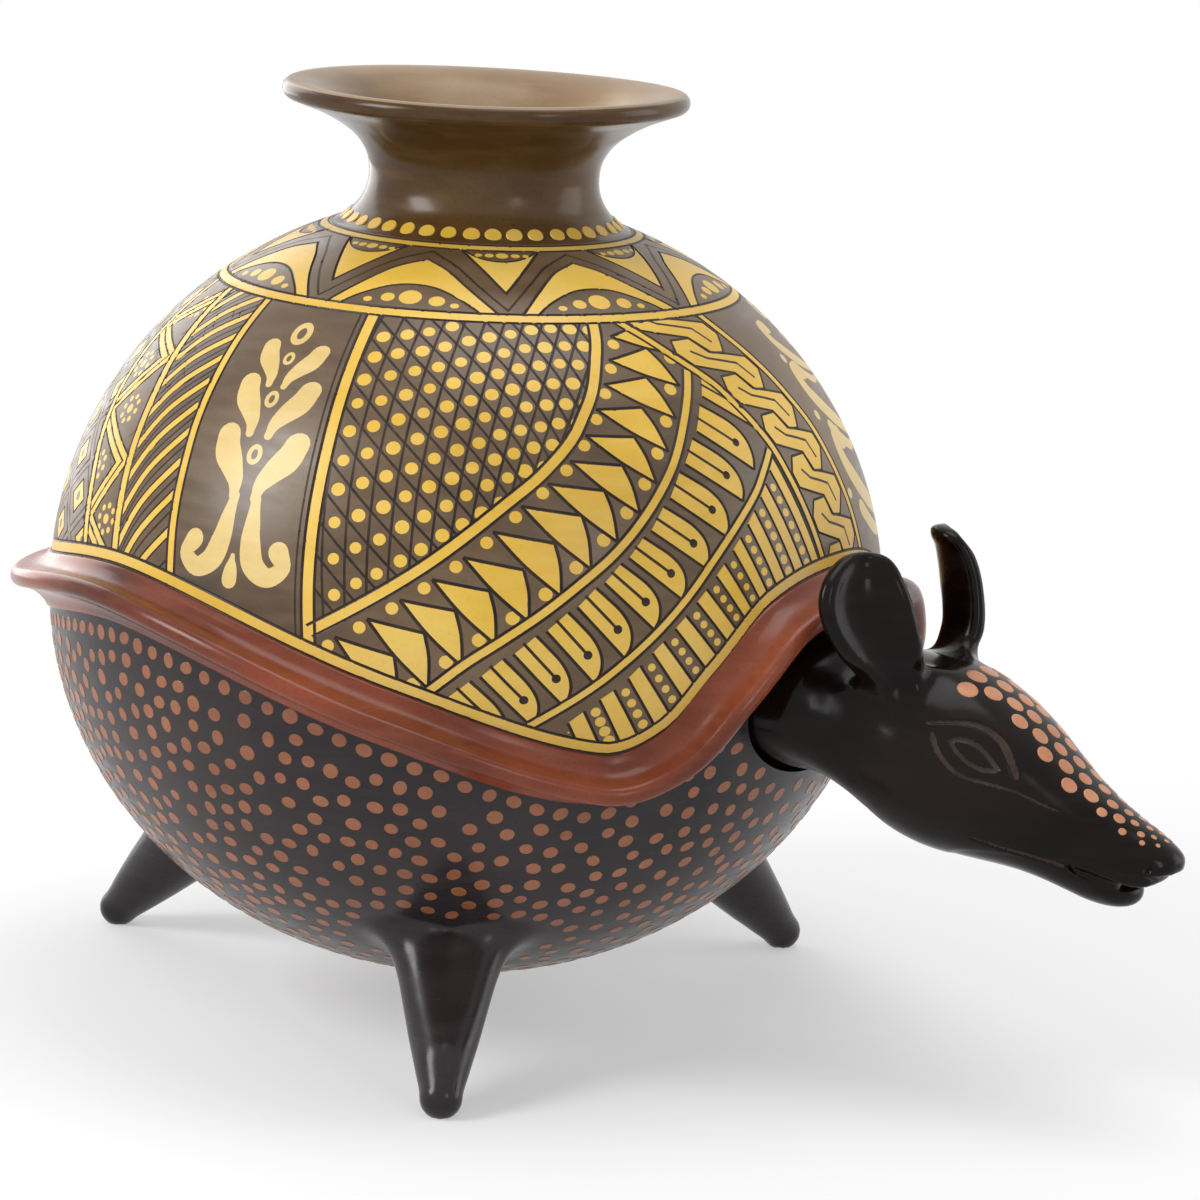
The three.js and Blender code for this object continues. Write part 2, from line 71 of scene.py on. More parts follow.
# Short ways to add and join the nodes of one material
class Nodes:

    def __init__(self, material):
        self.tree = material.node_tree
        self.shader = self.tree.nodes["Principled BSDF"]
        self.place = self.tree.nodes.new("ShaderNodeTexCoord").outputs["Object"]

    def join(self, source, target):
        self.tree.links.new(source, target)

    def noise(self, scale, detail, offset, stretch=None):
        node = self.tree.nodes.new("ShaderNodeTexNoise")
        node.inputs["Scale"].default_value = scale
        node.inputs["Detail"].default_value = detail
        mapping = self.tree.nodes.new("ShaderNodeMapping")
        mapping.inputs["Location"].default_value = (offset, offset * 0.7, offset * 1.3)
        if stretch:
            mapping.inputs["Scale"].default_value = stretch
        self.join(self.place, mapping.inputs["Vector"])
        self.join(mapping.outputs["Vector"], node.inputs["Vector"])
        return node.outputs["Fac"]

    def ramp(self, factor, stops):
        node = self.tree.nodes.new("ShaderNodeValToRGB")
        ramp = node.color_ramp
        while len(ramp.elements) < len(stops):
            ramp.elements.new(0.5)
        for element, (at, colour) in zip(ramp.elements, stops):
            element.position = at
            element.color = (*colour, 1)
        self.join(factor, node.inputs["Fac"])
        return node.outputs["Color"]

    def levels(self, factor, low, high, toLow, toHigh):
        node = self.tree.nodes.new("ShaderNodeMapRange")
        for name, value in (("From Min", low), ("From Max", high),
                            ("To Min", toLow), ("To Max", toHigh)):
            node.inputs[name].default_value = value
        self.join(factor, node.inputs["Value"])
        return node.outputs["Result"]

    def mix(self, factor, first, second):
        node = self.tree.nodes.new("ShaderNodeMix")
        node.data_type = "RGBA"
        for socket, value in ((node.inputs[0], factor), (node.inputs[6], first),
                              (node.inputs[7], second)):
            if isinstance(value, tuple):
                socket.default_value = (*value, 1)
            else:
                self.join(value, socket)
        return node.outputs[2]

    def math(self, kind, first, second):
        node = self.tree.nodes.new("ShaderNodeMath")
        node.operation = kind
        for socket, value in zip(node.inputs, (first, second)):
            if isinstance(value, (int, float)):
                socket.default_value = value
            else:
                self.join(value, socket)
        return node.outputs[0]

    def bump(self, height, distance, strength):
        node = self.tree.nodes.new("ShaderNodeBump")
        node.inputs["Distance"].default_value = distance
        node.inputs["Strength"].default_value = strength
        self.join(height, node.inputs["Height"])
        self.join(node.outputs["Normal"], self.shader.inputs["Normal"])


# Burnished slip: cloudy colour, strokes of the burnishing stone that show as a faint
# change of gloss, and a skin that isn't quite even
slips = {
    "slip_brown": dict(dark=(0.052, 0.030, 0.013), light=(0.110, 0.065, 0.029),
                       pale=(0.190, 0.125, 0.068), gloss=(0.28, 0.42), cloud=14, shine=(0.45, 0)),
    "slip_yellow": dict(dark=(0.60, 0.36, 0.040), light=(0.76, 0.47, 0.055),
                        pale=(0.82, 0.57, 0.16), gloss=(0.30, 0.42), cloud=16, shine=(0.42, 0)),
    "slip_pale": dict(dark=(0.58, 0.40, 0.13), light=(0.72, 0.52, 0.19),
                      pale=(0.82, 0.64, 0.32), gloss=(0.30, 0.42), cloud=16, shine=(0.42, 0)),
    "slip_groove": dict(dark=(0.016, 0.010, 0.008), light=(0.032, 0.019, 0.013),
                        pale=(0.055, 0.036, 0.025), gloss=(0.34, 0.5), cloud=60, shine=(0.2, 0)),
    "slip_collar": dict(dark=(0.036, 0.015, 0.005), light=(0.085, 0.041, 0.012),
                        pale=(0.175, 0.105, 0.044), gloss=(0.15, 0.26), cloud=11,
                        shine=(0.2, 0.03)),
    "slip_red": dict(dark=(0.075, 0.015, 0.007), light=(0.235, 0.052, 0.023),
                     pale=(0.270, 0.086, 0.046), gloss=(0.17, 0.30), cloud=12, shine=(0.22, 0.04)),
    "slip_black": dict(dark=(0.0030, 0.0016, 0.0013), light=(0.0062, 0.0036, 0.0030),
                       pale=(0.015, 0.0095, 0.008), gloss=(0.13, 0.26), cloud=18, shine=(0.13, 0)),
    "slip_scratch": dict(dark=(0.020, 0.011, 0.008), light=(0.038, 0.022, 0.015),
                         pale=(0.078, 0.047, 0.033), gloss=(0.4, 0.55), cloud=90, shine=(0.2, 0)),
    "slip_night": dict(dark=(0.012, 0.009, 0.010), light=(0.021, 0.0158, 0.0170),
                       pale=(0.040, 0.031, 0.031), gloss=(0.20, 0.34), cloud=13,
                       shine=(0.25, 0.04)),
    "slip_throat": dict(dark=(0.17, 0.105, 0.050), light=(0.30, 0.195, 0.105),
                        pale=(0.42, 0.290, 0.170), gloss=(0.28, 0.42), cloud=12, shine=(0.3, 0)),
    "clay_inside": dict(dark=(0.11, 0.055, 0.030), light=(0.17, 0.09, 0.05),
                        pale=(0.23, 0.13, 0.08), gloss=(0.62, 0.78), cloud=30, shine=(0.3, 0)),
    "pin_wood": dict(dark=(0.13, 0.065, 0.028), light=(0.21, 0.115, 0.05),
                     pale=(0.30, 0.18, 0.09), gloss=(0.5, 0.65), cloud=40, shine=(0.3, 0)),
    "slip_orange": dict(dark=(0.19, 0.070, 0.036), light=(0.29, 0.105, 0.048),
                        pale=(0.37, 0.150, 0.078), gloss=(0.24, 0.36), cloud=30, shine=(0.3, 0.05)),
    "slip_snout": dict(dark=(0.38, 0.140, 0.060), light=(0.52, 0.210, 0.098),
                       pale=(0.62, 0.300, 0.160), gloss=(0.24, 0.36), cloud=60, shine=(0.3, 0.05)),
}


# What all slips share: sizes of noise, with the levels between which each one works
burnish = dict(
    clouds=dict(detail=4, offset=3.1), toneAt=(0.32, 0.52, 0.80),
    strokes=dict(scale=55, detail=3, offset=7.7, stretch=(1, 1, 5.5)),
    strokeLevels=(0.42, 0.72, 0.0, 0.32),
    grain=dict(scale=900, detail=2, offset=1.4), grainLevels=(0.55, 0.8, 0.0, 0.35),
    glossFrom=(0.7, 0.3), glossLevels=(0.35, 0.65),
    swell=dict(scale=38, detail=2, offset=5.2, stretch=(1, 1, 1.6)), grainHeight=0.04,
    height=0.0007, strength=0.35)


def slipMaterial(name, dark, light, pale, gloss, cloud, shine):
    material = newMaterial(name, light, gloss[0], shine[0], shine[1])
    nodes = Nodes(material)
    clouds = nodes.noise(cloud, **burnish["clouds"])
    strokes = nodes.noise(**burnish["strokes"])
    grain = nodes.noise(**burnish["grain"])
    base = nodes.ramp(clouds, list(zip(burnish["toneAt"], (dark, light, pale))))
    streaked = nodes.mix(nodes.levels(strokes, *burnish["strokeLevels"]), base, pale)
    nodes.join(nodes.mix(nodes.levels(grain, *burnish["grainLevels"]), streaked, dark),
               nodes.shader.inputs["Base Color"])
    strokeShare, cloudShare = burnish["glossFrom"]
    uneven = nodes.math("ADD", nodes.math("MULTIPLY", strokes, strokeShare),
                        nodes.math("MULTIPLY", clouds, cloudShare))
    nodes.join(nodes.levels(uneven, *burnish["glossLevels"], *gloss),
               nodes.shader.inputs["Roughness"])
    skinHeight = nodes.math("ADD", nodes.noise(**burnish["swell"]),
                            nodes.math("MULTIPLY", grain, burnish["grainHeight"]))
    nodes.bump(skinHeight, burnish["height"], burnish["strength"])
    return material


look = {name: slipMaterial(name, **values) for name, values in slips.items()}


def addObject(name, vertices, faces, materials, faceMaterials=None):
    mesh = bpy.data.meshes.new(name)
    mesh.from_pydata([tuple(v) for v in vertices], [], faces)
    for material in materials:
        mesh.materials.append(material)
    if faceMaterials is not None:
        mesh.polygons.foreach_set("material_index", list(faceMaterials))
    mesh.polygons.foreach_set("use_smooth", [True] * len(mesh.polygons))
    mesh.update()
    obj = bpy.data.objects.new(name, mesh)
    bpy.context.collection.objects.link(obj)
    return obj


# Faces between rings of points, from the index of the first point
def quadRows(rows, columns, start=0, loopRows=False):
    faces = []
    for i in range(rows if loopRows else rows - 1):
        for j in range(columns):
            k, m = (i + 1) % rows, (j + 1) % columns
            faces.append(tuple(start + n for n in (
                i * columns + j, i * columns + m, k * columns + m, k * columns + j)))
    return faces


def turnOutward(obj):
    work = bmesh.new()
    work.from_mesh(obj.data)
    bmesh.ops.recalc_face_normals(work, faces=work.faces)
    work.to_mesh(obj.data)
    work.free()


# Azimuth from the nose and latitude from the belly line, both in degrees
def bodyPoint(azimuth, latitude, lift=0.0):
    turn, tilt = math.radians(azimuth), math.radians(latitude)
    reach = (body["radius"] + lift) * math.cos(tilt)
    return Vector((body["x"] + reach * math.cos(turn), reach * math.sin(turn),
                   body["belly"] + (halfHeight(latitude) + lift) * math.sin(tilt))) * mm


def bodyNormal(azimuth, latitude):
    turn, tilt = math.radians(azimuth), math.radians(latitude)
    return Vector((math.cos(tilt) * math.cos(turn) / body["radius"],
                   math.cos(tilt) * math.sin(turn) / body["radius"],
                   math.sin(tilt) / halfHeight(latitude))).normalized()


# A smooth curve through [key, value] pairs
def through(pairs):
    def valueAt(key):
        last = len(pairs) - 1
        if key <= pairs[0][0]:
            return pairs[0][1]
        if key >= pairs[last][0]:
            return pairs[last][1]
        i = next(j for j, pair in enumerate(pairs) if pair[0] > key) - 1

        def slope(j):
            if j in (0, last):
                return 0.0
            return (pairs[j + 1][1] - pairs[j - 1][1]) / (pairs[j + 1][0] - pairs[j - 1][0])

        span = pairs[i + 1][0] - pairs[i][0]
        t = (key - pairs[i][0]) / span
        a, b = pairs[i][1], pairs[i + 1][1]
        return (a + t * t * (3 - 2 * t) * (b - a)
                + span * t * (1 - t) * ((1 - t) * slope(i) - t * slope(i + 1)))
    return valueAt


# The brim's upper edge above the belly line, by azimuth from the nose
brim = dict(
    edge=[(0, 22.0), (16.2, 16.3), (26.6, -0.6), (33.2, -14.1), (41.5, -19.6),
          (68.3, -3.9), (96.6, 12.6), (116, 16.6), (148, 7.8), (180, 4.0)],
    depth=15.0, archDepth=12.0, reach=10.6, archReach=12.4, archBlend=(41.5 * 0.6, 41.5 * 1.2))
brimRise = through(brim["edge"])


def brimHeight(azimuth):
    return brimRise(abs((azimuth + 180) % 360 - 180))


def brimLatitude(azimuth, above=0.0):
    rise = brimHeight(azimuth) + above
    return math.degrees(math.asin(rise / halfHeight(rise)))


# A curve through the points, in pieces no longer than the step
def smoothLine(points, step=1.5):
    points = [Vector(p) for p in points]
    ends = [2 * points[0] - points[1]] + points + [2 * points[-1] - points[-2]]
    line = []
    for a, b, c, d in zip(ends, ends[1:], ends[2:], ends[3:]):
        count = max(1, math.ceil((c - b).length / step))
        for i in range(count):
            t = i / count
            line.append(0.5 * (2 * b + (c - a) * t + (2 * a - 5 * b + 4 * c - d) * t ** 2
                               + (3 * b - a - 3 * c + d) * t ** 3))
    return line + [points[-1]]


def straight(points, step=2.0):
    line = []
    for a, b in zip(points, points[1:]):
        a, b = Vector(a), Vector(b)
        count = max(1, math.ceil((b - a).length / step))
        line += [a.lerp(b, i / count) for i in range(count)]
    return line + [Vector(points[-1])]


# The line moved to its left by a distance in degrees of latitude
def sideways(line, distance):
    moved = []
    for i, point in enumerate(line):
        squeeze = squeezeAt(point.y)
        before, after = line[max(i - 1, 0)], line[min(i + 1, len(line) - 1)]
        first = Vector(((point - before).x * squeeze, (point - before).y))
        second = Vector(((after - point).x * squeeze, (after - point).y))
        if first.length == 0:
            first = second
        if second.length == 0:
            second = first
        first, second = first.normalized(), second.normalized()
        along = first + second
        along = along.normalized() if along.length > 1e-6 else first
        stretch = 1 / max(0.5, along.dot(first))
        moved.append(point + Vector((-along.y / squeeze, along.x)) * distance * stretch)
    return moved


mirrorAzimuth = 30.0  # the hidden side mirrors the drawn one about this line
degreeLength = 1.95  # one degree on the dome, in millimetres
incised = dict(width=0.42, depth=0.34)  # in degrees of latitude, and in millimetres


# Shapes drawn in azimuth and latitude. A shape shows inside its zone, over shapes of
# lower rank
class Pattern:

    def __init__(self):
        self.shapes = []
        self.zones = {}
        self.cuts = []
        self.mirrored = False

    def place(self, point):
        return Vector((2 * mirrorAzimuth - point[0], point[1])) if self.mirrored else Vector(point)

    def zoneName(self, zone):
        return zone + " again" if self.mirrored and zone in ("main",) + foldedZones else zone

    # The outline, and its copy one turn on where it crosses the back
    def everyTurn(self, points):
        placed = [self.place(p) for p in points]
        low, high = min(p.x for p in placed), max(p.x for p in placed)
        shifts = [0] + [360] * (low < -180) + [-360] * (high > 180)
        return [[p + Vector((shift, 0)) for p in placed] for shift in shifts
                if low + shift < 180 and high + shift > -180]

    def zone(self, name, points):
        for outline in self.everyTurn(points):
            self.zones.setdefault(self.zoneName(name), []).append(len(self.shapes))
            self.shapes.append((0, None, None, outline))

    def fill(self, zone, kind, rank, points):
        for outline in self.everyTurn(points):
            self.shapes.append((rank, self.zoneName(zone), kind, outline))

    def ribbon(self, zone, kind, rank, line, width):
        left, right = sideways(line, width / 2), sideways(line, -width / 2)
        for i in range(len(line) - 1):
            quad = [left[i], left[i + 1], right[i + 1], right[i]]
            turns = [(b - a).cross(c - b) for a, b, c in
                     zip(quad, quad[1:] + quad[:1], quad[2:] + quad[:2])]
            # A crossed piece at a sharp corner is laid as two triangles
            whole = all(t < 0 for t in turns) or all(t > 0 for t in turns)
            for piece in [quad] if whole else [quad[:3], quad[2:] + quad[:1]]:
                self.fill(zone, kind, rank, piece)

    def groove(self, zone, rank, line, width=incised["width"], depth=incised["depth"]):
        self.ribbon(zone, "groove", rank, line, width)
        self.cuts.append(([self.place(p) for p in line], width / 2 * degreeLength, depth))

    # A round spot whose radius is in degrees of latitude
    def dot(self, zone, kind, rank, centre, radius, tall=1.0, sides=12):
        centre = Vector(centre)
        squeeze = squeezeAt(centre.y)
        self.fill(zone, kind, rank, [
            centre + Vector((radius * math.cos(a) / squeeze, radius * tall * math.sin(a)))
            for a in (2 * math.pi * i / sides for i in range(sides))])

    # A yellow band between two incised lines
    def band(self, zone, rank, line, width):
        edge = incised["width"]
        self.ribbon(zone, "yellow", rank, line, width + edge)
        for side in (1, -1):
            self.groove(zone, rank + 1, sideways(line, side * (width + edge) / 2))


# Zones that show on both sides
foldedZones = ("lattice", "saw", "feather", "stripes", "chain", "scroll", "hatch", "ribbon")

# Where the bands and zones end, as latitudes or as lines of (azimuth, latitude)
layout = dict(
    ring=(51.7, 53.3), collarRing=(67.3, 68.7), top=69.2, hem=4.7,
    edgeBand=(0.45, 3.4),
    ribbonLeft=[(-141, 52), (-140, 44), (-137.8, 36), (-134.5, 29), (-131, 23.5), (-128, 19),
                (-125, 12.5), (-123.5, 8), (-121.8, 2), (-120.6, -3)],
    hatchLeft=[(-128.6, 53), (-126, 45), (-123.4, 38), (-121, 32), (-119, 25), (-117.3, 19),
               (-115.3, 11), (-114.5, 7), (-113.5, 2), (-112.6, -3)],
    scrollLeft=[(-111.1, 53), (-109.6, 45), (-108.2, 38), (-106.9, 31), (-105.6, 25),
                (-104.2, 17), (-102.8, 10), (-102.2, 6), (-101.6, 2), (-101, -3)],
    latticeLeft=[(-82.35, 53), (-82.2, 40), (-81.9, 30), (-81.6, 20), (-81.1, 12), (-80.4, 5),
                 (-80.1, 2)],
    sawTop=[(-34.9, 53), (-36, 49), (-38, 44.5), (-40, 40.2), (-42.5, 36.4), (-45, 32.9),
            (-50, 28), (-55, 24), (-60, 19.8), (-65, 15.7), (-70, 12), (-75, 8.6),
            (-80.3, 5.2)],
    featherTop=[(-19.3, 42.8), (-22, 38.9), (-25, 34.8), (-27.5, 31.2), (-30, 27.9),
                (-35, 22.3), (-40, 17.4), (-45, 13.4), (-50, 9.5), (-55, 5.9), (-60, 2.3),
                (-64.4, -1.6)],
    stripesTop=[(-9, 29.6), (-12.5, 26.5), (-15, 24.2), (-20, 20.2), (-25, 15.8),
                (-30, 10.8), (-35, 6.1), (-40, 1.9), (-45, -1.9), (-51.4, -6.2)],
    chainLeft=[(-30.5, 53), (-29, 51.6), (-25, 48.8), (-20, 44.7), (-15, 40.6),
               (-12.5, 37.4), (-10.2, 34), (-8, 29.9), (-6.7, 25.8), (-5.4, 21.3),
               (-4.2, 16.7), (-3.2, 12), (-2.2, 4), (-1.6, -4), (-1.4, -13)],
    chainRight=[(-5.6, 53), (-4.5, 50.9), (-2.3, 47.6), (0, 44.2), (2.3, 40.4), (4.5, 35.8),
                (6.4, 31.7), (7.5, 27.2), (8.4, 22.6), (9.1, 18), (9.5, 12), (9.7, 5), (9.8, -4),
                (9.8, -13)],
)


# A point on a smooth curve whose points are numbered
def at(table, index):
    return Vector((through([(i, x) for i, x, y in table])(index),
                   through([(i, y) for i, x, y in table])(index)))


def byLatitude(line):
    return through(sorted((y, x) for x, y in line))


# Strokes of the painted figures in degrees of latitude from the foot, and their widths
figures = dict(
    volute=([(1.7, 0.6), (2.0, -2.4), (2.3, -5.4), (3.3, -8.5), (5.7, -9.9), (7.7, -8.3),
             (6.7, -6.2)],
            [(0, 1.45), (0.25, 2.5), (0.5, 3.3), (0.75, 2.6), (0.9, 2.3), (1, 2.9)]),
    lobe=([(1.9, -2.6), (2.3, -0.4), (3.7, 1.9), (5.4, 4.2), (6.1, 6.6)],
          [(0, 1.6), (0.3, 2.9), (0.7, 4.5), (1, 4.1)]),
    crook=([(0.6, -1.0), (4.4, 0.6), (8.4, 2.9), (11.3, 6.4), (10.9, 9.5), (8.8, 9.6)],
           [(0, 1.7), (0.3, 2.7), (0.6, 3.2), (0.85, 2.3), (1, 3.0)]),
    frond=([(1.6, -2.6), (5.0, -2.4), (8.6, -1.0), (11.4, 1.2)], [(0, 1.0), (0.5, 1.9), (1, 2.3)]),
    sprout=([(0, -11.0), (0, -9.3), (0, -7.6)], [(0, 2.3), (0.5, 1.9), (1, 0.7)]))


# Large lozenges on the back, each with a smaller one inside
lozenges = dict(rows=range(-3, 9), columns=range(-5, 6), middle=(-150, 10), step=(6.2, 5.3),
                half=(5.3, 4.5), inner=0.55, spot=0.72)


def drawLozenges(draw):
    startX, startY = lozenges["middle"]
    stepX, stepY = lozenges["step"]
    wide, tall = lozenges["half"]
    for row in lozenges["rows"]:
        for column in lozenges["columns"]:
            if (row + column) % 2:
                continue
            centre = Vector((startX + column * stepX, startY + row * stepY))
            corners = [Vector((wide, 0)), Vector((0, tall)), Vector((-wide, 0)), Vector((0, -tall))]
            outline = [centre + c for c in corners]
            inner = [centre + c * lozenges["inner"] for c in corners]
            draw.groove("back", 2, straight(outline + outline[:1]), 0.36, 0.28)
            draw.fill("back", "yellow", 1, inner)
            draw.groove("back", 2, straight(inner + inner[:1]), 0.3, 0.24)
            draw.dot("back", "brown", 3, centre, lozenges["spot"])


# Painted leaf and scroll figures on the plain fields
def drawOpenFields(draw):
    def brush(zone, name, foot, size, side=1):
        path, widths = figures[name]
        spine = smoothLine(path, 0.5)
        widthAt = through(widths)
        left, right = [], []
        for i, point in enumerate(spine):
            along = (spine[min(i + 1, len(spine) - 1)] - spine[max(i - 1, 0)]).normalized()
            half = Vector((-along.y, along.x)) * widthAt(i / (len(spine) - 1)) / 2
            left.append(point + half)
            right.append(point - half)

        def roundEnd(centre, edge, steps=7):
            arm = edge - centre
            return [centre + Matrix.Rotation(-math.pi * k / steps, 2) @ arm
                    for k in range(1, steps)]

        placed = []
        for point in (left + roundEnd(spine[-1], left[-1]) + right[::-1]
                      + roundEnd(spine[0], right[0])):
            latitude = foot[1] + size * point.y
            placed.append(Vector((foot[0] + side * size * point.x / squeezeAt(latitude), latitude)))
        draw.fill(zone, "pale", 1, placed)

    def pair(zone, name, foot, size):
        for side in (1, -1):
            brush(zone, name, foot, size, side)

    def seed(zone, foot, size, tall=1.3):
        draw.dot(zone, "pale", 1, foot, size, tall, 24)
        draw.dot(zone, "brown", 2, foot, size * 0.42, tall * 1.2)

    def middle(latitude):
        return -91.0 - 0.105 * (latitude - 5), latitude

    pair("scroll", "volute", middle(21.2), 0.98)
    brush("scroll", "sprout", middle(21.2), 0.98)
    for latitude, size in ((24.1, 0.88), (32.7, 0.78), (39.8, 0.64)):
        pair("scroll", "lobe", middle(latitude), size)
        seed("scroll", middle(latitude + 4.2 * size), 1.3 * size)
    seed("scroll", middle(46.8), 1.5, 1.35)
    if draw.mirrored:
        return

    pair("front", "volute", (30, 15.0), 1.3)
    brush("front", "sprout", (30, 15.0), 1.3)
    brush("front", "lobe", (38.5, -4.0), 0.9)
    for azimuth, latitude in ((37.2, 3.4), (47.0, -4.5), (20.5, 7.0)):
        draw.dot("front", "pale", 1, (azimuth, latitude), 0.8)
    for latitude, size in ((16.0, 1.25), (28.4, 1.1), (38.4, 0.86)):
        pair("front", "crook", (30, latitude), size)
        pair("front", "frond", (30, latitude), size)
        seed("front", (30, latitude + 5.2 * size), 1.4 * size)
        for side in (1, -1):
            aside = side * 14.4 * size / squeezeAt(latitude + 3 * size)
            draw.dot("front", "pale", 1, (30 + aside, latitude + 3.6 * size), 0.8)
    seed("front", (30, 48.6), 1.6)
    drawLozenges(draw)


def drawMain(draw):
    floorLine = [(a, brimLatitude(a, layout["edgeBand"][0])) for a in range(-182, 183, 2)]
    ringLow = layout["ring"][0]
    lines = {name: smoothLine(points) for name, points in layout.items()
             if isinstance(points, list)}
    if not draw.mirrored:
        draw.zone("main", floorLine + [(182, ringLow), (-182, ringLow)])
        draw.zones["main again"] = draw.zones["main"]

    def between(first, second):
        return lines[first] + lines[second][::-1]

    draw.zone("scroll", between("scrollLeft", "latticeLeft"))
    draw.zone("hatch", between("hatchLeft", "scrollLeft"))
    draw.zone("ribbon", between("ribbonLeft", "hatchLeft"))
    draw.zone("lattice", lines["latticeLeft"] + lines["sawTop"][::-1])
    draw.zone("saw", lines["sawTop"] + [Vector((-66, -8))] + lines["featherTop"][::-1]
              + [p for p in lines["chainLeft"][::-1] if p.y > 42.8])
    draw.zone("feather", lines["featherTop"] + [Vector((-58, -10))] + lines["stripesTop"][::-1]
              + [p for p in lines["chainLeft"][::-1] if 29.6 < p.y < 42.8])
    draw.zone("stripes", lines["stripesTop"] + [Vector((-45, -13))]
              + [p for p in lines["chainLeft"][::-1] if p.y < 29.6])
    draw.zone("chain", between("chainLeft", "chainRight"))
    if not draw.mirrored:
        opposite = {name: [Vector((2 * mirrorAzimuth - p.x, p.y)) for p in lines[name]]
                    for name in ("chainRight", "ribbonLeft")}
        draw.zone("front", lines["chainRight"] + opposite["chainRight"][::-1])
        draw.zone("back", [p - Vector((360, 0)) for p in opposite["ribbonLeft"]]
                  + lines["ribbonLeft"][::-1])
    drawOpenFields(draw)

    # Bands between the zones
    for name, width in (("ribbonLeft", 1.1), ("hatchLeft", 1.2), ("scrollLeft", 1.0),
                        ("latticeLeft", 1.35), ("sawTop", 1.25), ("featherTop", 1.0),
                        ("stripesTop", 0.85), ("chainLeft", 0.9), ("chainRight", 0.95)):
        rank = 5 if name == "chainLeft" else 3
        draw.band("main", rank, lines[name], width)
    draw.groove("main", 4, sideways(lines["latticeLeft"], -1.75), 0.3, 0.22)

    # Lattice with a spot in each cell: rows of (column, azimuth, latitude) with a smooth fit
    rows = [(-6, [(7, -49.1, 50.3), (8, -47.1, 47.6), (10, -43, 41.5)]),
            (-4, [(5, -57.4, 49), (8, -50.6, 41.2), (10, -46.6, 35.5)]),
            (-2, [(2, -69.4, 49.6), (5, -60, 42.1), (9, -50.8, 31.7)]),
            (0, [(0, -78.7, 47.8), (4, -64.3, 37.3), (8, -54.8, 27.6)]),
            (2, [(0, -78.8, 40.8), (4, -65.6, 29.8), (7, -58.4, 22.6)]),
            (4, [(0, -79, 32.7), (3, -68.9, 24.4), (5, -63.9, 19.4)]),
            (7, [(0, -78.6, 20), (1, -75, 16.8), (2, -71.7, 13.7)])]
    grid, aim = [], []
    for n, spots in rows:
        for m, azimuth, latitude in spots:
            grid.append([1, m, n, m * m, m * n, n * n, m * m * n, m * n * n])
            aim.append((azimuth, latitude))
    weights = np.linalg.lstsq(np.array(grid, float), np.array(aim), rcond=None)[0]

    def cell(m, n):
        return Vector(np.array([1, m, n, m * m, m * n, n * n, m * m * n, m * n * n]) @ weights)

    for m in range(-1, 13):
        draw.groove("lattice", 2, [cell(m + 0.5, n / 2) for n in range(-24, 26)
                                   if -84 < cell(m + 0.5, n / 2).x < -28], 0.36, 0.3)
    for n in range(-11, 12):
        draw.groove("lattice", 2, [cell(m / 2, n + 0.5) for m in range(-3, 26)
                                   if -3 < cell(m / 2, n + 0.5).y < 60], 0.36, 0.3)
    chance = random.Random(5)
    for m in range(0, 12):
        for n in range(-11, 12):
            spot = cell(m, n)
            if -81 < spot.x < -36 and 5 < spot.y < 51:
                draw.dot("lattice", "yellow", 1, spot + Vector((chance.uniform(-0.15, 0.15),
                         chance.uniform(-0.15, 0.15))), chance.uniform(0.78, 0.98))

    # Saw teeth
    tips = [(-1, -80.6, 2), (0, -76.8, 4.8), (2, -68.6, 10.5), (4, -60.7, 16.6),
            (6, -53, 23.7), (8, -45.5, 30), (10, -40, 37.5), (12, -35, 45.2), (13, -32.6, 49.2)]
    shoulders = [(-1, -73, -0.5), (0, -68.9, 3), (2, -61.4, 9.5), (4, -52.7, 15.2),
                 (6, -44.5, 22.5), (8, -37.5, 29.3), (10, -31.8, 37.6), (12, -25.9, 47),
                 (13, -23, 51.6)]
    ends = [(-1, -73, -8), (0, -68.6, -4.6), (2, -60.2, 2), (4, -51.9, 8.2), (6, -43.6, 15.2),
            (8, -35.9, 22.5), (10, -29.3, 30.9), (12, -22.7, 40.5), (13, -19.4, 45.4)]
    for i in range(-1, 14):
        tip, shoulder, end = at(tips, i), at(shoulders, i), at(ends, i)
        top = straight([tip, shoulder])
        side = smoothLine([shoulder, shoulder.lerp(end, 0.45) + Vector((0.35, 0.1)), end])
        back = smoothLine([end, end.lerp(tip, 0.5) + Vector((-0.25, -0.25)), tip])
        draw.fill("saw", "yellow", 1, top + side[1:] + back[1:-1])
        for edge in (top, side, back):
            draw.groove("saw", 2, edge, 0.46, 0.36)
        if i < 13:
            nextTip, nextEnd = at(tips, i + 1), at(ends, i + 1)
            upper = 0.3 * tip + 0.62 * nextTip + 0.08 * shoulder
            lower = 0.27 * shoulder + 0.18 * end + 0.55 * nextEnd
            draw.dot("saw", "yellow", 1, upper, 0.84)
            draw.dot("saw", "yellow", 1, lower, 0.92)

    # Feathers, each slit down to a drilled hole
    roots = [(-2, -66, -5.5), (-1, -62, -2.4), (1, -53.8, 3.9), (3, -45.6, 10.2),
             (6, -34.6, 20.1), (8, -27, 29), (9, -23, 33.5), (11, -16.5, 41.5)]
    points = [(-2, -59, -12), (-1, -55.2, -9), (1, -47.2, -3.2), (3, -39.2, 3.2),
              (5, -30.9, 10.7), (7, -22.5, 18.5), (8, -18.2, 23.1), (9, -14.1, 27.2),
              (11, -6.5, 35.5)]

    def feather(i, s, t):
        return at(roots, i + s).lerp(at(points, i + s), t)

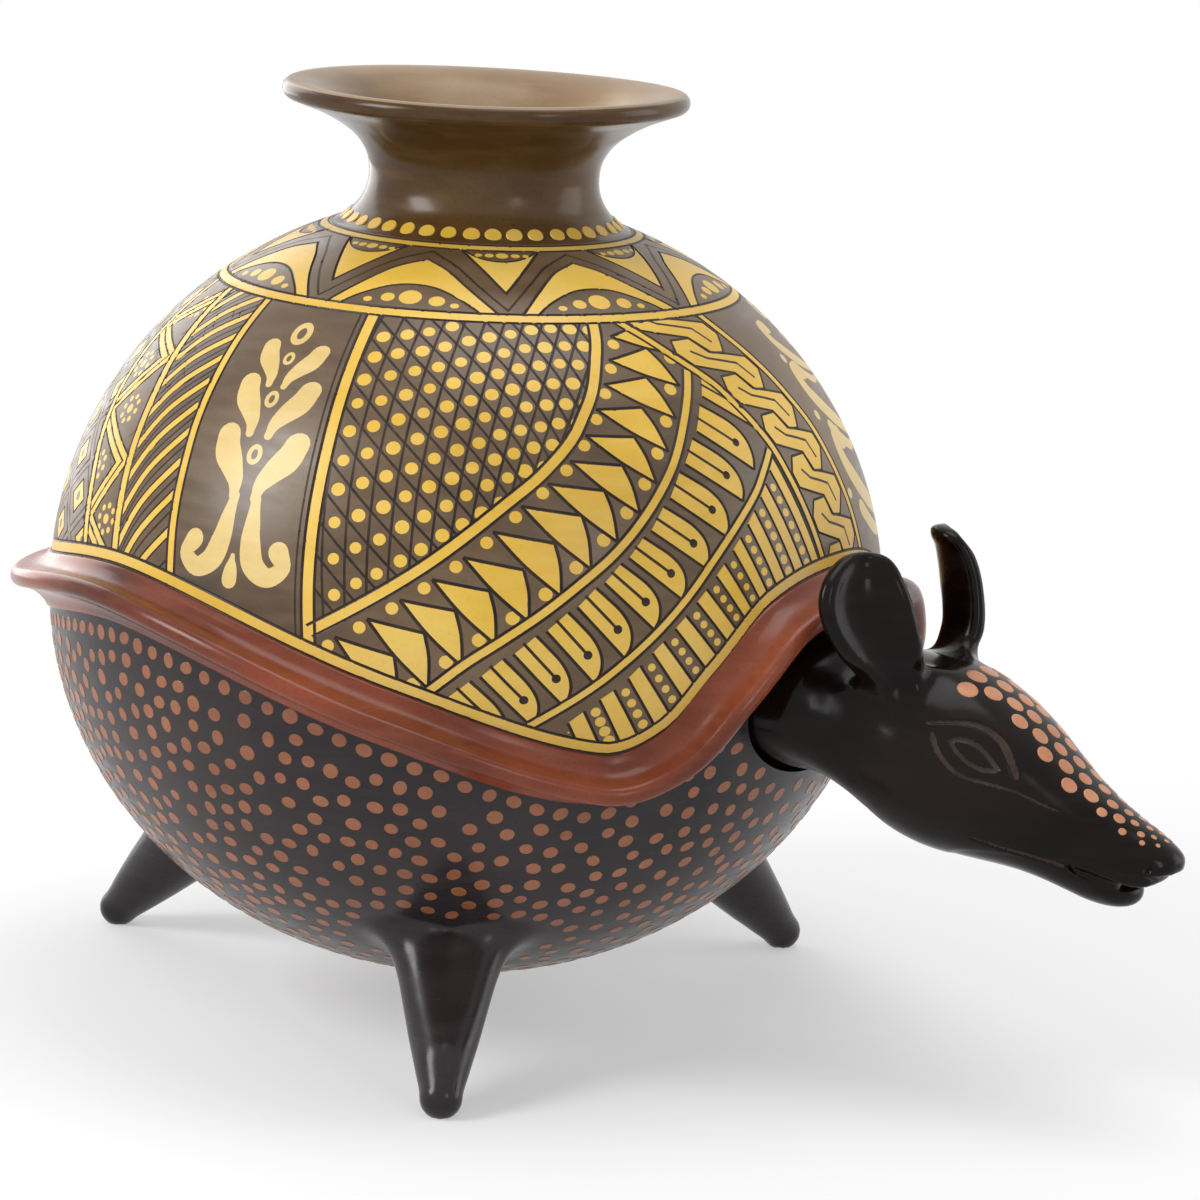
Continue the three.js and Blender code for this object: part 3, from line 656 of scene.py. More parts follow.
    for i in range(-2, 11):
        low = straight([feather(i, 0, 0.0), feather(i, 0, 1.0)])
        curve = smoothLine([feather(i, s, t) for s, t in (
            (0.0, 1.0), (0.27, 0.95), (0.52, 0.83), (0.68, 0.67), (0.76, 0.46), (0.76, 0.22),
            (0.74, -0.03))], 0.7)
        slit = straight([feather(i, 0.375, -0.05), feather(i, 0.375, 0.6)])
        draw.fill("feather", "yellow", 1, low + curve[1:])
        draw.groove("feather", 2, low, 0.44, 0.34)
        draw.groove("feather", 2, curve, 0.44, 0.34)
        draw.groove("feather", 2, slit, 0.42, 0.36)
        hole = feather(i, 0.375, 0.62)
        draw.dot("feather", "groove", 2, hole, 0.62)
        draw.cuts.append(([draw.place(hole), draw.place(hole + Vector((0.01, 0)))], 1.25, 0.9))

    # Bars and strings of beads
    upper = [(0, -46.6, -6.2), (1, -43.1, -3.4), (2, -39.3, -0.6), (3, -35.9, 2.7),
             (4, -32.6, 5.8), (5, -29.2, 9.1), (6, -25.8, 12.4), (8, -19, 18.8),
             (10, -11.5, 25.4), (11, -8.4, 28.2)]
    lower = [(0, -45, -9.6), (1, -40.2, -9.2), (2, -35.6, -7), (3, -31.6, -3.6),
             (4, -28.3, 0.4), (5, -25, 4), (6, -21.8, 7), (8, -15.6, 11), (10, -7.2, 12.5),
             (11, -3.8, 12.2)]

    def stripe(s, t):
        return at(upper, s).lerp(at(lower, s), t)

    for i in range(0, 12):
        far = 1.1 if i < 5 else 3.2
        edges = [straight([stripe(i + s, -0.04), stripe(i + s, far)]) for s in (0.24, 0.74)]
        draw.fill("stripes", "yellow", 1, edges[0] + edges[1][::-1])
        for edge in edges:
            draw.groove("stripes", 2, edge, 0.42, 0.34)
        if i <= 10:
            length = (stripe(i, 1) - stripe(i, 0)).length
            count = max(2, round(length / 1.85))
            for k in range(int(count * far)):
                t = (k + 0.55) / count
                wide = (stripe(i + 0.24, t) - stripe(i - 0.26, t)).x
                draw.dot("stripes", "yellow", 1, stripe(i - 0.01, t),
                         min(0.82, 0.33 * wide * squeezeAt(stripe(i, t).y)))

    # Running chain of hooked links
    leftOf, rightOf = byLatitude(lines["chainLeft"]), byLatitude(lines["chainRight"])
    link = [(0.22, -0.33), (0.08, 0.0), (0.08, 0.35), (0.3, 0.52), (0.47, 0.64), (0.51, 1.08),
            (0.67, 1.12), (0.91, 0.65), (0.91, 0.3), (0.7, 0.17), (0.48, 0.05), (0.46, -0.35)]
    hook = [(0.27, -0.02), (0.36, 0.2), (0.52, 0.31), (0.665, 0.42), (0.69, 0.83)]

    def onChain(t, s, centre):
        latitude = centre - 6.6 * s
        return Vector((leftOf(latitude) * (1 - t) + rightOf(latitude) * t, latitude))

    for i in range(-1, 11):
        centre = 52.3 - 6.6 * i
        outline = straight([onChain(t, s, centre) for t, s in link + link[:1]])
        draw.fill("chain", "yellow", 1, outline[:-1])
        draw.groove("chain", 2, outline, 0.4, 0.34)
        draw.groove("chain", 2, straight([onChain(t, s, centre) for t, s in hook]), 0.4, 0.34)

    # Slanting stripes
    starts = [(-1, -104.6, -5), (0, -108.6, -2.6), (1, -112.3, 2.6), (2, -114.2, 6.2),
              (3, -115, 10.8), (4, -115.9, 15.5), (5, -117, 20.3), (6, -118.1, 25.2),
              (7, -119.5, 29.6), (8, -121.1, 34), (9, -122.5, 38.3), (10, -124, 42.6),
              (11, -125.6, 47), (12, -127.4, 51.4), (13, -129, 56)]
    finishes = [(-1, -101.2, 0.5), (0, -102.5, 8), (1, -104.3, 15.6), (2, -105.4, 20.6),
                (3, -106.5, 25), (4, -107.4, 29.4), (5, -108.4, 33.2), (6, -109.2, 37),
                (7, -109.8, 40.8), (8, -110.4, 44.6), (9, -111, 48.6), (10, -112, 52.4),
                (11, -113.5, 56), (12, -114.5, 60), (13, -116, 64)]
    for i in range(-2, 26):
        first, last = at(starts, i / 2), at(finishes, i / 2)
        middle = first.lerp(last, 0.45) + Vector((-0.7, 0.9))
        line = smoothLine([first, middle, last])
        if i % 2:
            draw.groove("hatch", 2, line, 0.34, 0.26)
        else:
            draw.ribbon("hatch", "yellow", 1, line, 1.0)
            for side in (0.62, -0.62):
                draw.groove("hatch", 2, sideways(line, side), 0.3, 0.26)

    # Folded ribbon with flowers in its corners
    fold = [(-124, 53), (-139.2, 42), (-125.6, 38.6), (-134, 28), (-120.3, 22.6), (-125.2, 13.6),
            (-117.5, 9.2), (-122.3, 1), (-114.5, -4)]
    line = straight(fold)
    draw.ribbon("ribbon", "yellow", 1, line, 2.5)
    for side in (1.25, 0, -1.25):
        draw.groove("ribbon", 2, sideways(line, side), 0.34, 0.28)
    for centre in ((-133.2, 35.9), (-126.2, 29.6), (-127.6, 20.6), (-119.4, 14.3), (-131.5, 47)):
        draw.dot("ribbon", "yellow", 1, centre, 0.72)
        squeeze = squeezeAt(centre[1])
        for k in range(8):
            turn = 2 * math.pi * k / 8
            draw.dot("ribbon", "yellow", 1, (centre[0] + 1.9 * math.cos(turn) / squeeze,
                     centre[1] + 1.9 * math.sin(turn)), 0.46, sides=10)


# One arch of the crown and what stands in and beside it, as (azimuth, latitude) from its
# middle. A curve in two parts has a corner between them
crown = dict(
    first=-211, apart=45,
    arch=([(-20.5, 51.5), (-19, 53.5), (-14, 58), (-8, 61.9), (0, 64.3)],
          [(0, 64.3), (7, 61.9), (13.5, 58), (20, 53.5), (21.5, 51.5)]),
    lens=([(-17.5, 51.5), (-15.5, 53.5), (-12, 55.6), (-6, 57.7), (0, 58.3), (6, 57.7),
           (12, 55.6), (16, 53.5), (18, 51.5)],),
    lensDots=((-9.8, 54.55, 0.62, 0.8), (-5.3, 55.3, 0.95, 0.9), (0, 55.65, 1.55, 0.9),
              (6.4, 55.2, 1.1, 0.9), (10.6, 54.5, 0.6, 0.8)),
    valley=([(-22.5, 54.0), (-17, 58.6), (-10, 63.2), (0, 66.4)],
            [(0, 66.4), (9, 63.0), (16, 58.6), (22.5, 54.0)]),
    flag=([(8, 68), (10.5, 66.6), (17, 62.2), (22.5, 57.4)],
          [(22.5, 57.4), (28.2, 62.2), (34.5, 66.6), (37, 68)]),
    saucer=([(9.5, 68), (12, 66.4), (17, 65.0), (22.5, 64.5), (28, 65.0), (33, 66.4),
             (35.5, 68)],),
    saucerDots=((15.2, 0.5), (18.7, 0.62), (22.8, 0.85), (27.2, 0.62), (30.6, 0.45)),
    saucerLevel=66.05)


# The rings round the dome, and the crown between the upper two
def drawRings(draw):
    around = [a * 1.5 for a in range(-121, 122)]
    draw.zone("all", [(-182, -30), (182, -30), (182, 80), (-182, 80)])
    for name in ("ring", "collarRing"):
        low, high = layout[name]
        draw.band("all", 7, [Vector((a, (low + high) / 2)) for a in around],
                  high - low - incised["width"])
    middle = sum(layout["edgeBand"]) / 2
    draw.band("all", 7, [Vector((a, brimLatitude(a, middle))) for a in around], 1.3)
    draw.zone("crown", [(-182, 52.4), (182, 52.4), (182, 68), (-182, 68)])
    for k in range(9):
        centre = Vector((crown["first"] + crown["apart"] * k, 0))

        def curve(name):
            parts = [smoothLine([centre + Vector(p) for p in part]) for part in crown[name]]
            return [p for part in parts[:-1] for p in part[:-1]] + parts[-1]

        draw.fill("crown", "yellow", 1, curve("arch"))
        draw.groove("crown", 2, curve("arch"))
        draw.fill("crown", "brown", 3, curve("lens"))
        draw.groove("crown", 4, curve("lens"), 0.36, 0.3)
        for aside, latitude, size, tall in crown["lensDots"]:
            draw.dot("crown", "yellow", 5, centre + Vector((aside, latitude)), size, tall, 16)
        draw.groove("crown", 2, curve("valley"), 0.36, 0.3)
        draw.fill("crown", "yellow", 1, curve("flag"))
        draw.groove("crown", 2, curve("flag"))
        draw.fill("crown", "brown", 3, curve("saucer"))
        draw.groove("crown", 4, curve("saucer"), 0.34, 0.28)
        for aside, size in crown["saucerDots"]:
            draw.dot("crown", "yellow", 5, centre + Vector((aside, crown["saucerLevel"])),
                     size, 0.8)


# The looks on the dome by kind of shape, in the order of its material slots
domeLooks = dict(brown="slip_brown", yellow="slip_yellow", groove="slip_groove",
                 pale="slip_pale", inside="clay_inside")
domeKinds = list(domeLooks)

# Steps in degrees, and in millimetres along the cuts
domeMesh = dict(borderStep=1.5, topStep=2, gridStep=3.0, cutStep=0.12, cutReach=1.3, chunk=4000,
                seam=179.999, seamGap=0.05, rounding=0.35)


def domeShell():
    pattern = Pattern()
    drawRings(pattern)
    drawMain(pattern)
    pattern.mirrored = True
    drawMain(pattern)
    pattern.mirrored = False
    border = [Vector((a, brimLatitude(a, -layout["hem"])))
              for a in np.arange(-180, 180.1, domeMesh["borderStep"])]
    border += [Vector((a, layout["top"])) for a in range(180, -181, -domeMesh["topStep"])]
    points, edges = [], []
    for outline in [border] + [shape[3] for shape in pattern.shapes]:
        start, count = len(points), len(outline)
        points += outline
        edges += [(start + i, start + (i + 1) % count) for i in range(count)]
    for azimuth in np.arange(-177, 178, domeMesh["gridStep"]):
        for latitude in np.arange(-12, 69, domeMesh["gridStep"]):
            points.append(Vector((azimuth, latitude + 0.013 * azimuth % 1)))
    print("dome outlines", len(pattern.shapes), "points", len(points))
    flat, _, triangles = delaunay_2d_cdt(points, edges, [], 0, 1e-5, False)[:3]

    # Each triangle takes the highest shape that its middle lies in
    middles = np.array(flat)[np.array(triangles)].mean(1)
    order = np.argsort(middles[:, 0])
    spots = middles[order]

    def within(outline):
        ring = np.array(outline)
        low, high = np.searchsorted(spots[:, 0], (ring[:, 0].min(), ring[:, 0].max()))
        near = np.arange(low, high)
        near = near[(spots[near, 1] > ring[:, 1].min()) & (spots[near, 1] < ring[:, 1].max())]
        following = np.roll(ring, -1, 0)
        level = ring[:, 1] != following[:, 1]
        ax, ay, bx, by = (v[level, None] for v in (*ring.T, *following.T))
        found = []
        for part in np.array_split(near, max(1, len(near) // domeMesh["chunk"])):
            x, y = spots[part].T
            crossed = ((ay > y) != (by > y)) & (x < ax + (bx - ax) * (y - ay) / (by - ay))
            found.append(part[crossed.sum(0) % 2 == 1])
        return order[np.concatenate(found)]

    inZone = {}
    for name, numbers in pattern.zones.items():
        inZone[name] = np.zeros(len(triangles), bool)
        for i in numbers:
            inZone[name][within(pattern.shapes[i][3])] = True
    best, chosen = np.zeros(len(triangles)), np.zeros(len(triangles), int)
    for rank, zone, kind, outline in pattern.shapes:
        if kind:
            found = within(outline)
            found = found[inZone[zone][found] & (rank > best[found])]
            best[found], chosen[found] = rank, domeKinds.index(kind)
    inside = sorted(within(border))
    kept = [triangles[i] for i in inside]
    kindOf = [int(chosen[i]) for i in inside]

    # The two sides of the back seam become one
    used = sorted({v for t in kept for v in t})
    eastern = [v for v in used if flat[v].x > domeMesh["seam"]]
    same = {}
    for v in used:
        if flat[v].x < -domeMesh["seam"]:
            twin = min(eastern, key=lambda e: abs(flat[e].y - flat[v].y))
            if abs(flat[twin].y - flat[v].y) < domeMesh["seamGap"]:
                same[v] = twin
    kept = [[same.get(v, v) for v in t] for t in kept]
    used = [v for v in used if v not in same]
    fresh = {old: new for new, old in enumerate(used)}

    # The incised lines are pressed in, deepest in their middle
    cuts = []
    for line, reach, depth in pattern.cuts:
        for a, b in zip(line, line[1:]):
            count = max(1, math.ceil((b - a).length / domeMesh["cutStep"]))
            cuts += [(a.lerp(b, i / count), reach, depth) for i in range(count + 1)]
    tree = kdtree.KDTree(len(cuts))
    for i, (point, reach, depth) in enumerate(cuts):
        tree.insert(bodyPoint(point.x, point.y) / mm, i)
    tree.balance()
    inGroove = set()
    for triangle, kind in zip(kept, kindOf):
        if kind == domeKinds.index("groove"):
            inGroove.update(triangle)
    vertices, normals = [], []
    for old in used:
        azimuth, latitude = flat[old]
        point = bodyPoint(azimuth, latitude)
        sink = 0.0
        if old in inGroove:
            for _, i, distance in tree.find_range(point / mm, domeMesh["cutReach"]):
                _, reach, depth = cuts[i]
                if distance < reach:
                    sink = max(sink, depth * (1 - (distance / reach) ** 2))
        normal = bodyNormal(azimuth, latitude)
        vertices.append(point - normal * sink * mm)
        normals.append(normal)
    places = [tuple(flat[v]) for v in used]
    return vertices, normals, places, [tuple(fresh[v] for v in t) for t in kept], kindOf


# Triangles between two closed rings of (azimuth, vertex), both in order
def stitch(first, second):
    faces = []
    i = j = 0
    while i < len(first) or j < len(second):
        nextFirst = first[i + 1][0] if i + 1 < len(first) else first[0][0] + 360
        nextSecond = second[j + 1][0] if j + 1 < len(second) else second[0][0] + 360
        a, b = first[i % len(first)][1], second[j % len(second)][1]
        if j >= len(second) or (i < len(first) and nextFirst <= nextSecond):
            faces.append((a, first[(i + 1) % len(first)][1], b))
            i += 1
        else:
            faces.append((a, second[(j + 1) % len(second)][1], b))
            j += 1
    return faces


innerFace = dict(columns=120, rows=14, lowBelow=40, highGap=0.2)  # the last two find the rims


# The unpainted inner face, joined to the outer one under the brim and the collar
def innerSkin(vertices, places, faces):
    columns, rows = innerFace["columns"], innerFace["rows"]
    first = len(vertices)
    added = []
    for i in range(rows):
        for j in range(columns):
            azimuth = -180 + 360 * j / columns
            low = brimLatitude(azimuth, -layout["hem"])
            latitude = low + (layout["top"] - low) * i / (rows - 1)
            added.append(bodyPoint(azimuth, latitude, -body["wall"]))
    count = {}
    for face in faces:
        for a, b in zip(face, face[1:] + face[:1]):
            key = (min(a, b), max(a, b))
            count[key] = count.get(key, 0) + 1
    rim = {v for edge, uses in count.items() if uses == 1 for v in edge}
    low = sorted((places[v][0], v) for v in rim if places[v][1] < innerFace["lowBelow"])
    high = sorted((places[v][0], v) for v in rim
                  if places[v][1] > layout["top"] - innerFace["highGap"])
    inner, innerTop = ([(-180 + 360 * j / columns, start + j) for j in range(columns)]
                       for start in (first, first + (rows - 1) * columns))
    made = [tuple(reversed(f)) for f in quadRows(rows, columns, first)]
    return added, made, stitch(inner, low), stitch(high, innerTop)


def dome():
    vertices, normals, places, faces, kindOf = domeShell()
    added, inner, hem, shoulder = innerSkin(vertices, places, faces)
    vertices = vertices + added
    faces = faces + inner + hem + shoulder
    inside, groove = domeKinds.index("inside"), domeKinds.index("groove")
    kindOf = kindOf + [inside] * (len(inner) + len(hem) + len(shoulder))
    obj = addObject("painted_dome", vertices, faces, [look[n] for n in domeLooks.values()], kindOf)
    mesh = obj.data
    evened = domeMesh["rounding"]
    loopNormals = []
    for polygon in mesh.polygons:
        for vertex in polygon.vertices:
            if polygon.material_index == inside:
                loopNormals.append(polygon.normal)
                continue
            normal = normals[vertex]
            if polygon.material_index == groove:
                normal = (normal * evened + polygon.normal * (1 - evened)).normalized()
            loopNormals.append(normal)
    mesh.normals_split_custom_set(loopNormals)
    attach(obj, "vessel")
    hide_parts("upper_dome")
    print("dome faces", len(faces))


dome()


def lathePoint(radius, height, turn):
    return Vector((body["x"] + radius * math.cos(turn), radius * math.sin(turn), height)) * mm


bowlShape = dict(rows=64, columns=240, rimBelowBrim=5.3, lowest=-89.6,
                 holeWidth=37.6, holeHeight=21.6, holeLevel=103.66, holeFrom=60, holeTo=140,
                 outerFrom=0.985, innerTo=0.955, evenFrom=0.9)


def bowl():
    rows, columns = bowlShape["rows"], bowlShape["columns"]
    points = []
    for lift in (0.0, -body["wall"]):
        for i in range(rows):
            for j in range(columns):
                azimuth = 360 * j / columns
                top = brimLatitude(azimuth, -bowlShape["rimBelowBrim"])
                share = i / (rows - 1)
                latitude = top + (bowlShape["lowest"] - top) * share
                points.append(bodyPoint(azimuth, latitude, lift))
    each = rows * columns
    faces = quadRows(rows, columns) + [tuple(reversed(f)) for f in quadRows(rows, columns, each)]
    faces += [(j, each + j, each + (j + 1) % columns, (j + 1) % columns) for j in range(columns)]
    faces.append(tuple(each - columns + j for j in range(columns)))
    faces.append(tuple(reversed([2 * each - columns + j for j in range(columns)])))
    obj = addObject("dotted_bowl", points, faces, [look["slip_night"], look["clay_inside"]])
    turnOutward(obj)

    cutter = addObject("neck_opening", *ovalBar(
        bowlShape["holeFrom"], bowlShape["holeTo"], bowlShape["holeWidth"],
        bowlShape["holeHeight"], bowlShape["holeLevel"]), [])
    turnOutward(cutter)
    cut = obj.modifiers.new("opening", "BOOLEAN")
    cut.operation = "DIFFERENCE"
    cut.object = cutter
    cut.solver = "EXACT"
    graph = bpy.context.evaluated_depsgraph_get()
    mesh = bpy.data.meshes.new_from_object(obj.evaluated_get(graph))
    obj.modifiers.clear()
    obj.data = mesh
    bpy.data.objects.remove(cutter)

    normals = []
    for polygon in mesh.polygons:
        middle = polygon.center / mm - Vector((body["x"], 0, body["belly"]))
        size = math.hypot(math.hypot(middle.x, middle.y) / body["radius"],
                          middle.z / halfHeight(middle.z))
        outside = size > bowlShape["outerFrom"]
        inside = size < bowlShape["innerTo"]
        polygon.material_index = 1 if inside else 0
        for v in polygon.vertices:
            out = bowlNormal(mesh.vertices[v].co / mm)
            even = abs(polygon.normal.dot(out)) > bowlShape["evenFrom"] and (outside or inside)
            normals.append((-out if inside else out) if even else polygon.normal)
    mesh.normals_split_custom_set(normals)
    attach(obj, "vessel")
    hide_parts("lower_bowl")
    print("bowl faces", len(mesh.polygons))


# A closed oval bar along X, from its half width and half height
def ovalBar(start, end, width, height, level, steps=96):
    points = [Vector((body["x"] + x, width * math.cos(2 * math.pi * i / steps),
                      level + height * math.sin(2 * math.pi * i / steps))) * mm
              for x in (start, end) for i in range(steps)]
    faces = quadRows(2, steps)
    faces += [tuple(range(steps)), tuple(reversed(range(steps, 2 * steps)))]
    return points, faces


brimShape = dict(
    lip=4.8, shoulder=4.5, sink=0.9, foot=[(0.0, 0.1), (0.12, 0.55), (0.5, 0.9)],
    underBend=5.8, hem=[(0.4, 0.9), (0.05, 0.5), (0, 0.1)], bendSteps=8, lipSteps=10,
    columns=480, probe=0.12, waver=0.25, waverFrom=(3, 9), wavers=((1, 5, 1), (0.6, 11, 2)))


# The points after the first on a curve that bends towards the second
def quadratic(a, b, c, count):
    a, b, c = Vector(a), Vector(b), Vector(c)
    return [a * (1 - t) ** 2 + b * 2 * t * (1 - t) + c * t * t
            for t in (i / count for i in range(1, count + 1))]


# The cut through the brim: down the wall, and out from it
def brimSection(depth, reach):
    lip = brimShape["lip"] / 2
    shoulder, sink = brimShape["shoulder"], brimShape["sink"]
    crest = reach - lip
    hem = [Vector((depth - inset, out)) for inset, out in brimShape["hem"]]
    path = [Vector((0.0, -sink))] + [Vector(p) for p in brimShape["foot"]]
    path += quadratic(path[-1], (shoulder - 0.1, crest / 3), (shoulder, crest),
                      brimShape["bendSteps"])
    path += [Vector((shoulder + lip - lip * math.cos(a), crest + lip * math.sin(a)))
             for a in (math.pi * i / brimShape["lipSteps"]
                       for i in range(1, brimShape["lipSteps"] + 1))]
    path += quadratic((shoulder + 2 * lip, crest), (shoulder + brimShape["underBend"], crest / 3),
                      hem[0], brimShape["bendSteps"])
    path += hem[1:] + [Vector((depth, -sink))]
    path += [Vector((depth * i / 4, -sink)) for i in (3, 2, 1)]
    return path


def smoothStep(value, low, high):
    t = min(1.0, max(0.0, (value - low) / (high - low)))
    return t * t * (3 - 2 * t)


# How deep the brim is and how far it stands out, which changes over the head
def brimSize(azimuth):
    off = abs((azimuth + 180) % 360 - 180)
    away = smoothStep(off, *brim["archBlend"])
    return (brim["archDepth"] + (brim["depth"] - brim["archDepth"]) * away,
            brim["archReach"] + (brim["reach"] - brim["archReach"]) * away)


def brimPiece():
    def edge(azimuth):
        return bodyPoint(azimuth, brimLatitude(azimuth)) / mm

    points = []
    columns, probe = brimShape["columns"], brimShape["probe"]
    for j in range(columns):
        azimuth = 360 * j / columns
        section = brimSection(*brimSize(azimuth))
        top = edge(azimuth)
        along = (edge(azimuth + probe) - edge(azimuth - probe)).normalized()
        down = along.cross(bowlNormal(top)).normalized()
        if down.z > 0:
            down.negate()
        turn = math.radians(azimuth)
        waver = brimShape["waver"] * sum(share * math.sin(often * turn + start)
                                         for share, often, start in brimShape["wavers"])
        for drop, reach in section:
            guess = top + down * drop
            angle = math.degrees(math.atan2(guess.y, guess.x - body["x"]))
            rise = guess.z - body["belly"]
            flat = math.hypot(guess.x - body["x"], guess.y) / body["radius"]
            foot = bodyPoint(angle, math.degrees(math.atan2(rise / halfHeight(rise), flat))) / mm
            far = reach + waver * smoothStep(reach, *brimShape["waverFrom"])
            points.append((foot + bowlNormal(foot) * far) * mm)
    rows = len(points) // columns
    obj = addObject("red_brim", points, quadRows(columns, rows, loopRows=True),
                    [look["slip_red"]])
    turnOutward(obj)
    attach(obj, "vessel")
    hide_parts("carapace_brim")
    print("brim faces", len(obj.data.polygons))


buttonEdge = dict(top=0.455, bottom=0.5)  # radii as shares of the diameter


# Buttons of paint on points that hold a facing direction
def dotTree(name, sides):
    tree = bpy.data.node_groups.new(name, "GeometryNodeTree")
    face = tree.interface
    face.new_socket("Geometry", in_out="INPUT", socket_type="NodeSocketGeometry")
    for label, kind in (("Diameter", "NodeSocketFloat"), ("Thickness", "NodeSocketFloat"),
                        ("Size Change", "NodeSocketFloat"), ("Seed", "NodeSocketInt"),
                        ("Finish", "NodeSocketMaterial")):
        face.new_socket(label, in_out="INPUT", socket_type=kind)
    face.new_socket("Geometry", in_out="OUTPUT", socket_type="NodeSocketGeometry")
    new, join = tree.nodes.new, tree.links.new
    given, result = new("NodeGroupInput"), new("NodeGroupOutput")
    button = new("GeometryNodeMeshCone")
    button.inputs["Vertices"].default_value = sides
    button.inputs["Radius Top"].default_value = buttonEdge["top"]
    button.inputs["Radius Bottom"].default_value = buttonEdge["bottom"]
    share = new("ShaderNodeMath")
    share.operation = "DIVIDE"
    join(given.outputs["Thickness"], share.inputs[0])
    join(given.outputs["Diameter"], share.inputs[1])
    join(share.outputs[0], button.inputs["Depth"])
    facing = new("GeometryNodeInputNamedAttribute")
    facing.data_type = "FLOAT_VECTOR"
    facing.inputs["Name"].default_value = "facing"
    turn = new("FunctionNodeAlignRotationToVector")
    turn.axis = "Z"
    join(facing.outputs["Attribute"], turn.inputs["Vector"])
    change = new("FunctionNodeRandomValue")
    change.data_type = "FLOAT_VECTOR"
    low, high = new("ShaderNodeMath"), new("ShaderNodeMath")
    low.operation, high.operation = "SUBTRACT", "ADD"
    for node in (low, high):
        node.inputs[0].default_value = 1.0
        join(given.outputs["Size Change"], node.inputs[1])
    join(low.outputs[0], change.inputs[0])
    join(high.outputs[0], change.inputs[1])
    join(given.outputs["Seed"], change.inputs["Seed"])
    scale = new("ShaderNodeVectorMath")
    scale.operation = "SCALE"
    join(change.outputs[0], scale.inputs[0])
    join(given.outputs["Diameter"], scale.inputs["Scale"])
    place = new("GeometryNodeInstanceOnPoints")
    join(given.outputs["Geometry"], place.inputs["Points"])
    join(button.outputs["Mesh"], place.inputs["Instance"])
    join(turn.outputs["Rotation"], place.inputs["Rotation"])
    join(scale.outputs[0], place.inputs["Scale"])
    real, paint = new("GeometryNodeRealizeInstances"), new("GeometryNodeSetMaterial")
    join(place.outputs["Instances"], real.inputs["Geometry"])
    join(real.outputs["Geometry"], paint.inputs["Geometry"])
    join(given.outputs["Finish"], paint.inputs["Material"])
    join(paint.outputs["Geometry"], result.inputs["Geometry"])
    return tree


def growDots(name, spots, facings, settings, finish):
    mesh = bpy.data.meshes.new(name + "_spots")
    mesh.from_pydata([tuple(s) for s in spots], [], [])
    held = mesh.attributes.new("facing", "FLOAT_VECTOR", "POINT")
    held.data.foreach_set("vector", [c for f in facings for c in f])
    seedObject = bpy.data.objects.new(name, mesh)
    bpy.context.collection.objects.link(seedObject)
    tree = dotTree(name + "_tree", settings["sides"])
    modifier = seedObject.modifiers.new("dots", "NODES")
    modifier.node_group = tree
    named = {i.name: i.identifier for i in tree.interface.items_tree
             if i.item_type == "SOCKET" and i.in_out == "INPUT"}
    modifier[named["Diameter"]] = settings["diameter"] * mm
    modifier[named["Thickness"]] = settings["thickness"] * mm
    modifier[named["Size Change"]] = settings["sizeChange"]
    modifier[named["Seed"]] = settings["seed"]
    modifier[named["Finish"]] = finish
    graph = bpy.context.evaluated_depsgraph_get()
    solid = bpy.data.meshes.new_from_object(seedObject.evaluated_get(graph))
    seedObject.modifiers.clear()
    seedObject.data = solid
    return seedObject


# The collar's wall as (radius, height), up outside, round the lip's edge and down inside
mouth = dict(
    outer=[(42.0, 216.2), (41.0, 217.3), (39.4, 218.0), (37.6, 218.9), (36.2, 220.3), (34.8, 221.8),
           (33.4, 223.7), (32.3, 225.9), (31.6, 228.4), (31.4, 231.2), (31.9, 235.2), (33.8, 239.0),
           (37.0, 242.3), (41.4, 245.1), (46.2, 247.4), (50.4, 248.9), (53.0, 249.8)],
    edgeRadius=2.5, edgeCentre=(52.9, 252.4), edgeFrom=-68, edgeSweep=145, edgeSteps=12,
    inner=[(52.6, 254.9), (49.0, 254.4), (44.6, 252.9), (40.2, 250.2), (36.4, 246.6), (33.0, 242.6),
           (29.6, 238.6), (27.3, 234.6), (26.5, 230.6), (26.5, 222.0), (26.5, 216.2)],
    under=[(30, 215.9), (36, 216.0)],
    columns=160, outerStep=0.9, innerStep=1.2,
    uneven=dict(between=(240, 254), lift=0.4, wave=0.3, lean=0.1, leanTo=1.2, wide=0.25),
    dots=39, dotRow=8, dotLift=0.05, dotWaver=0.06,
    dot=dict(diameter=4.5, thickness=0.3, sizeChange=0.06, seed=8, sides=20))


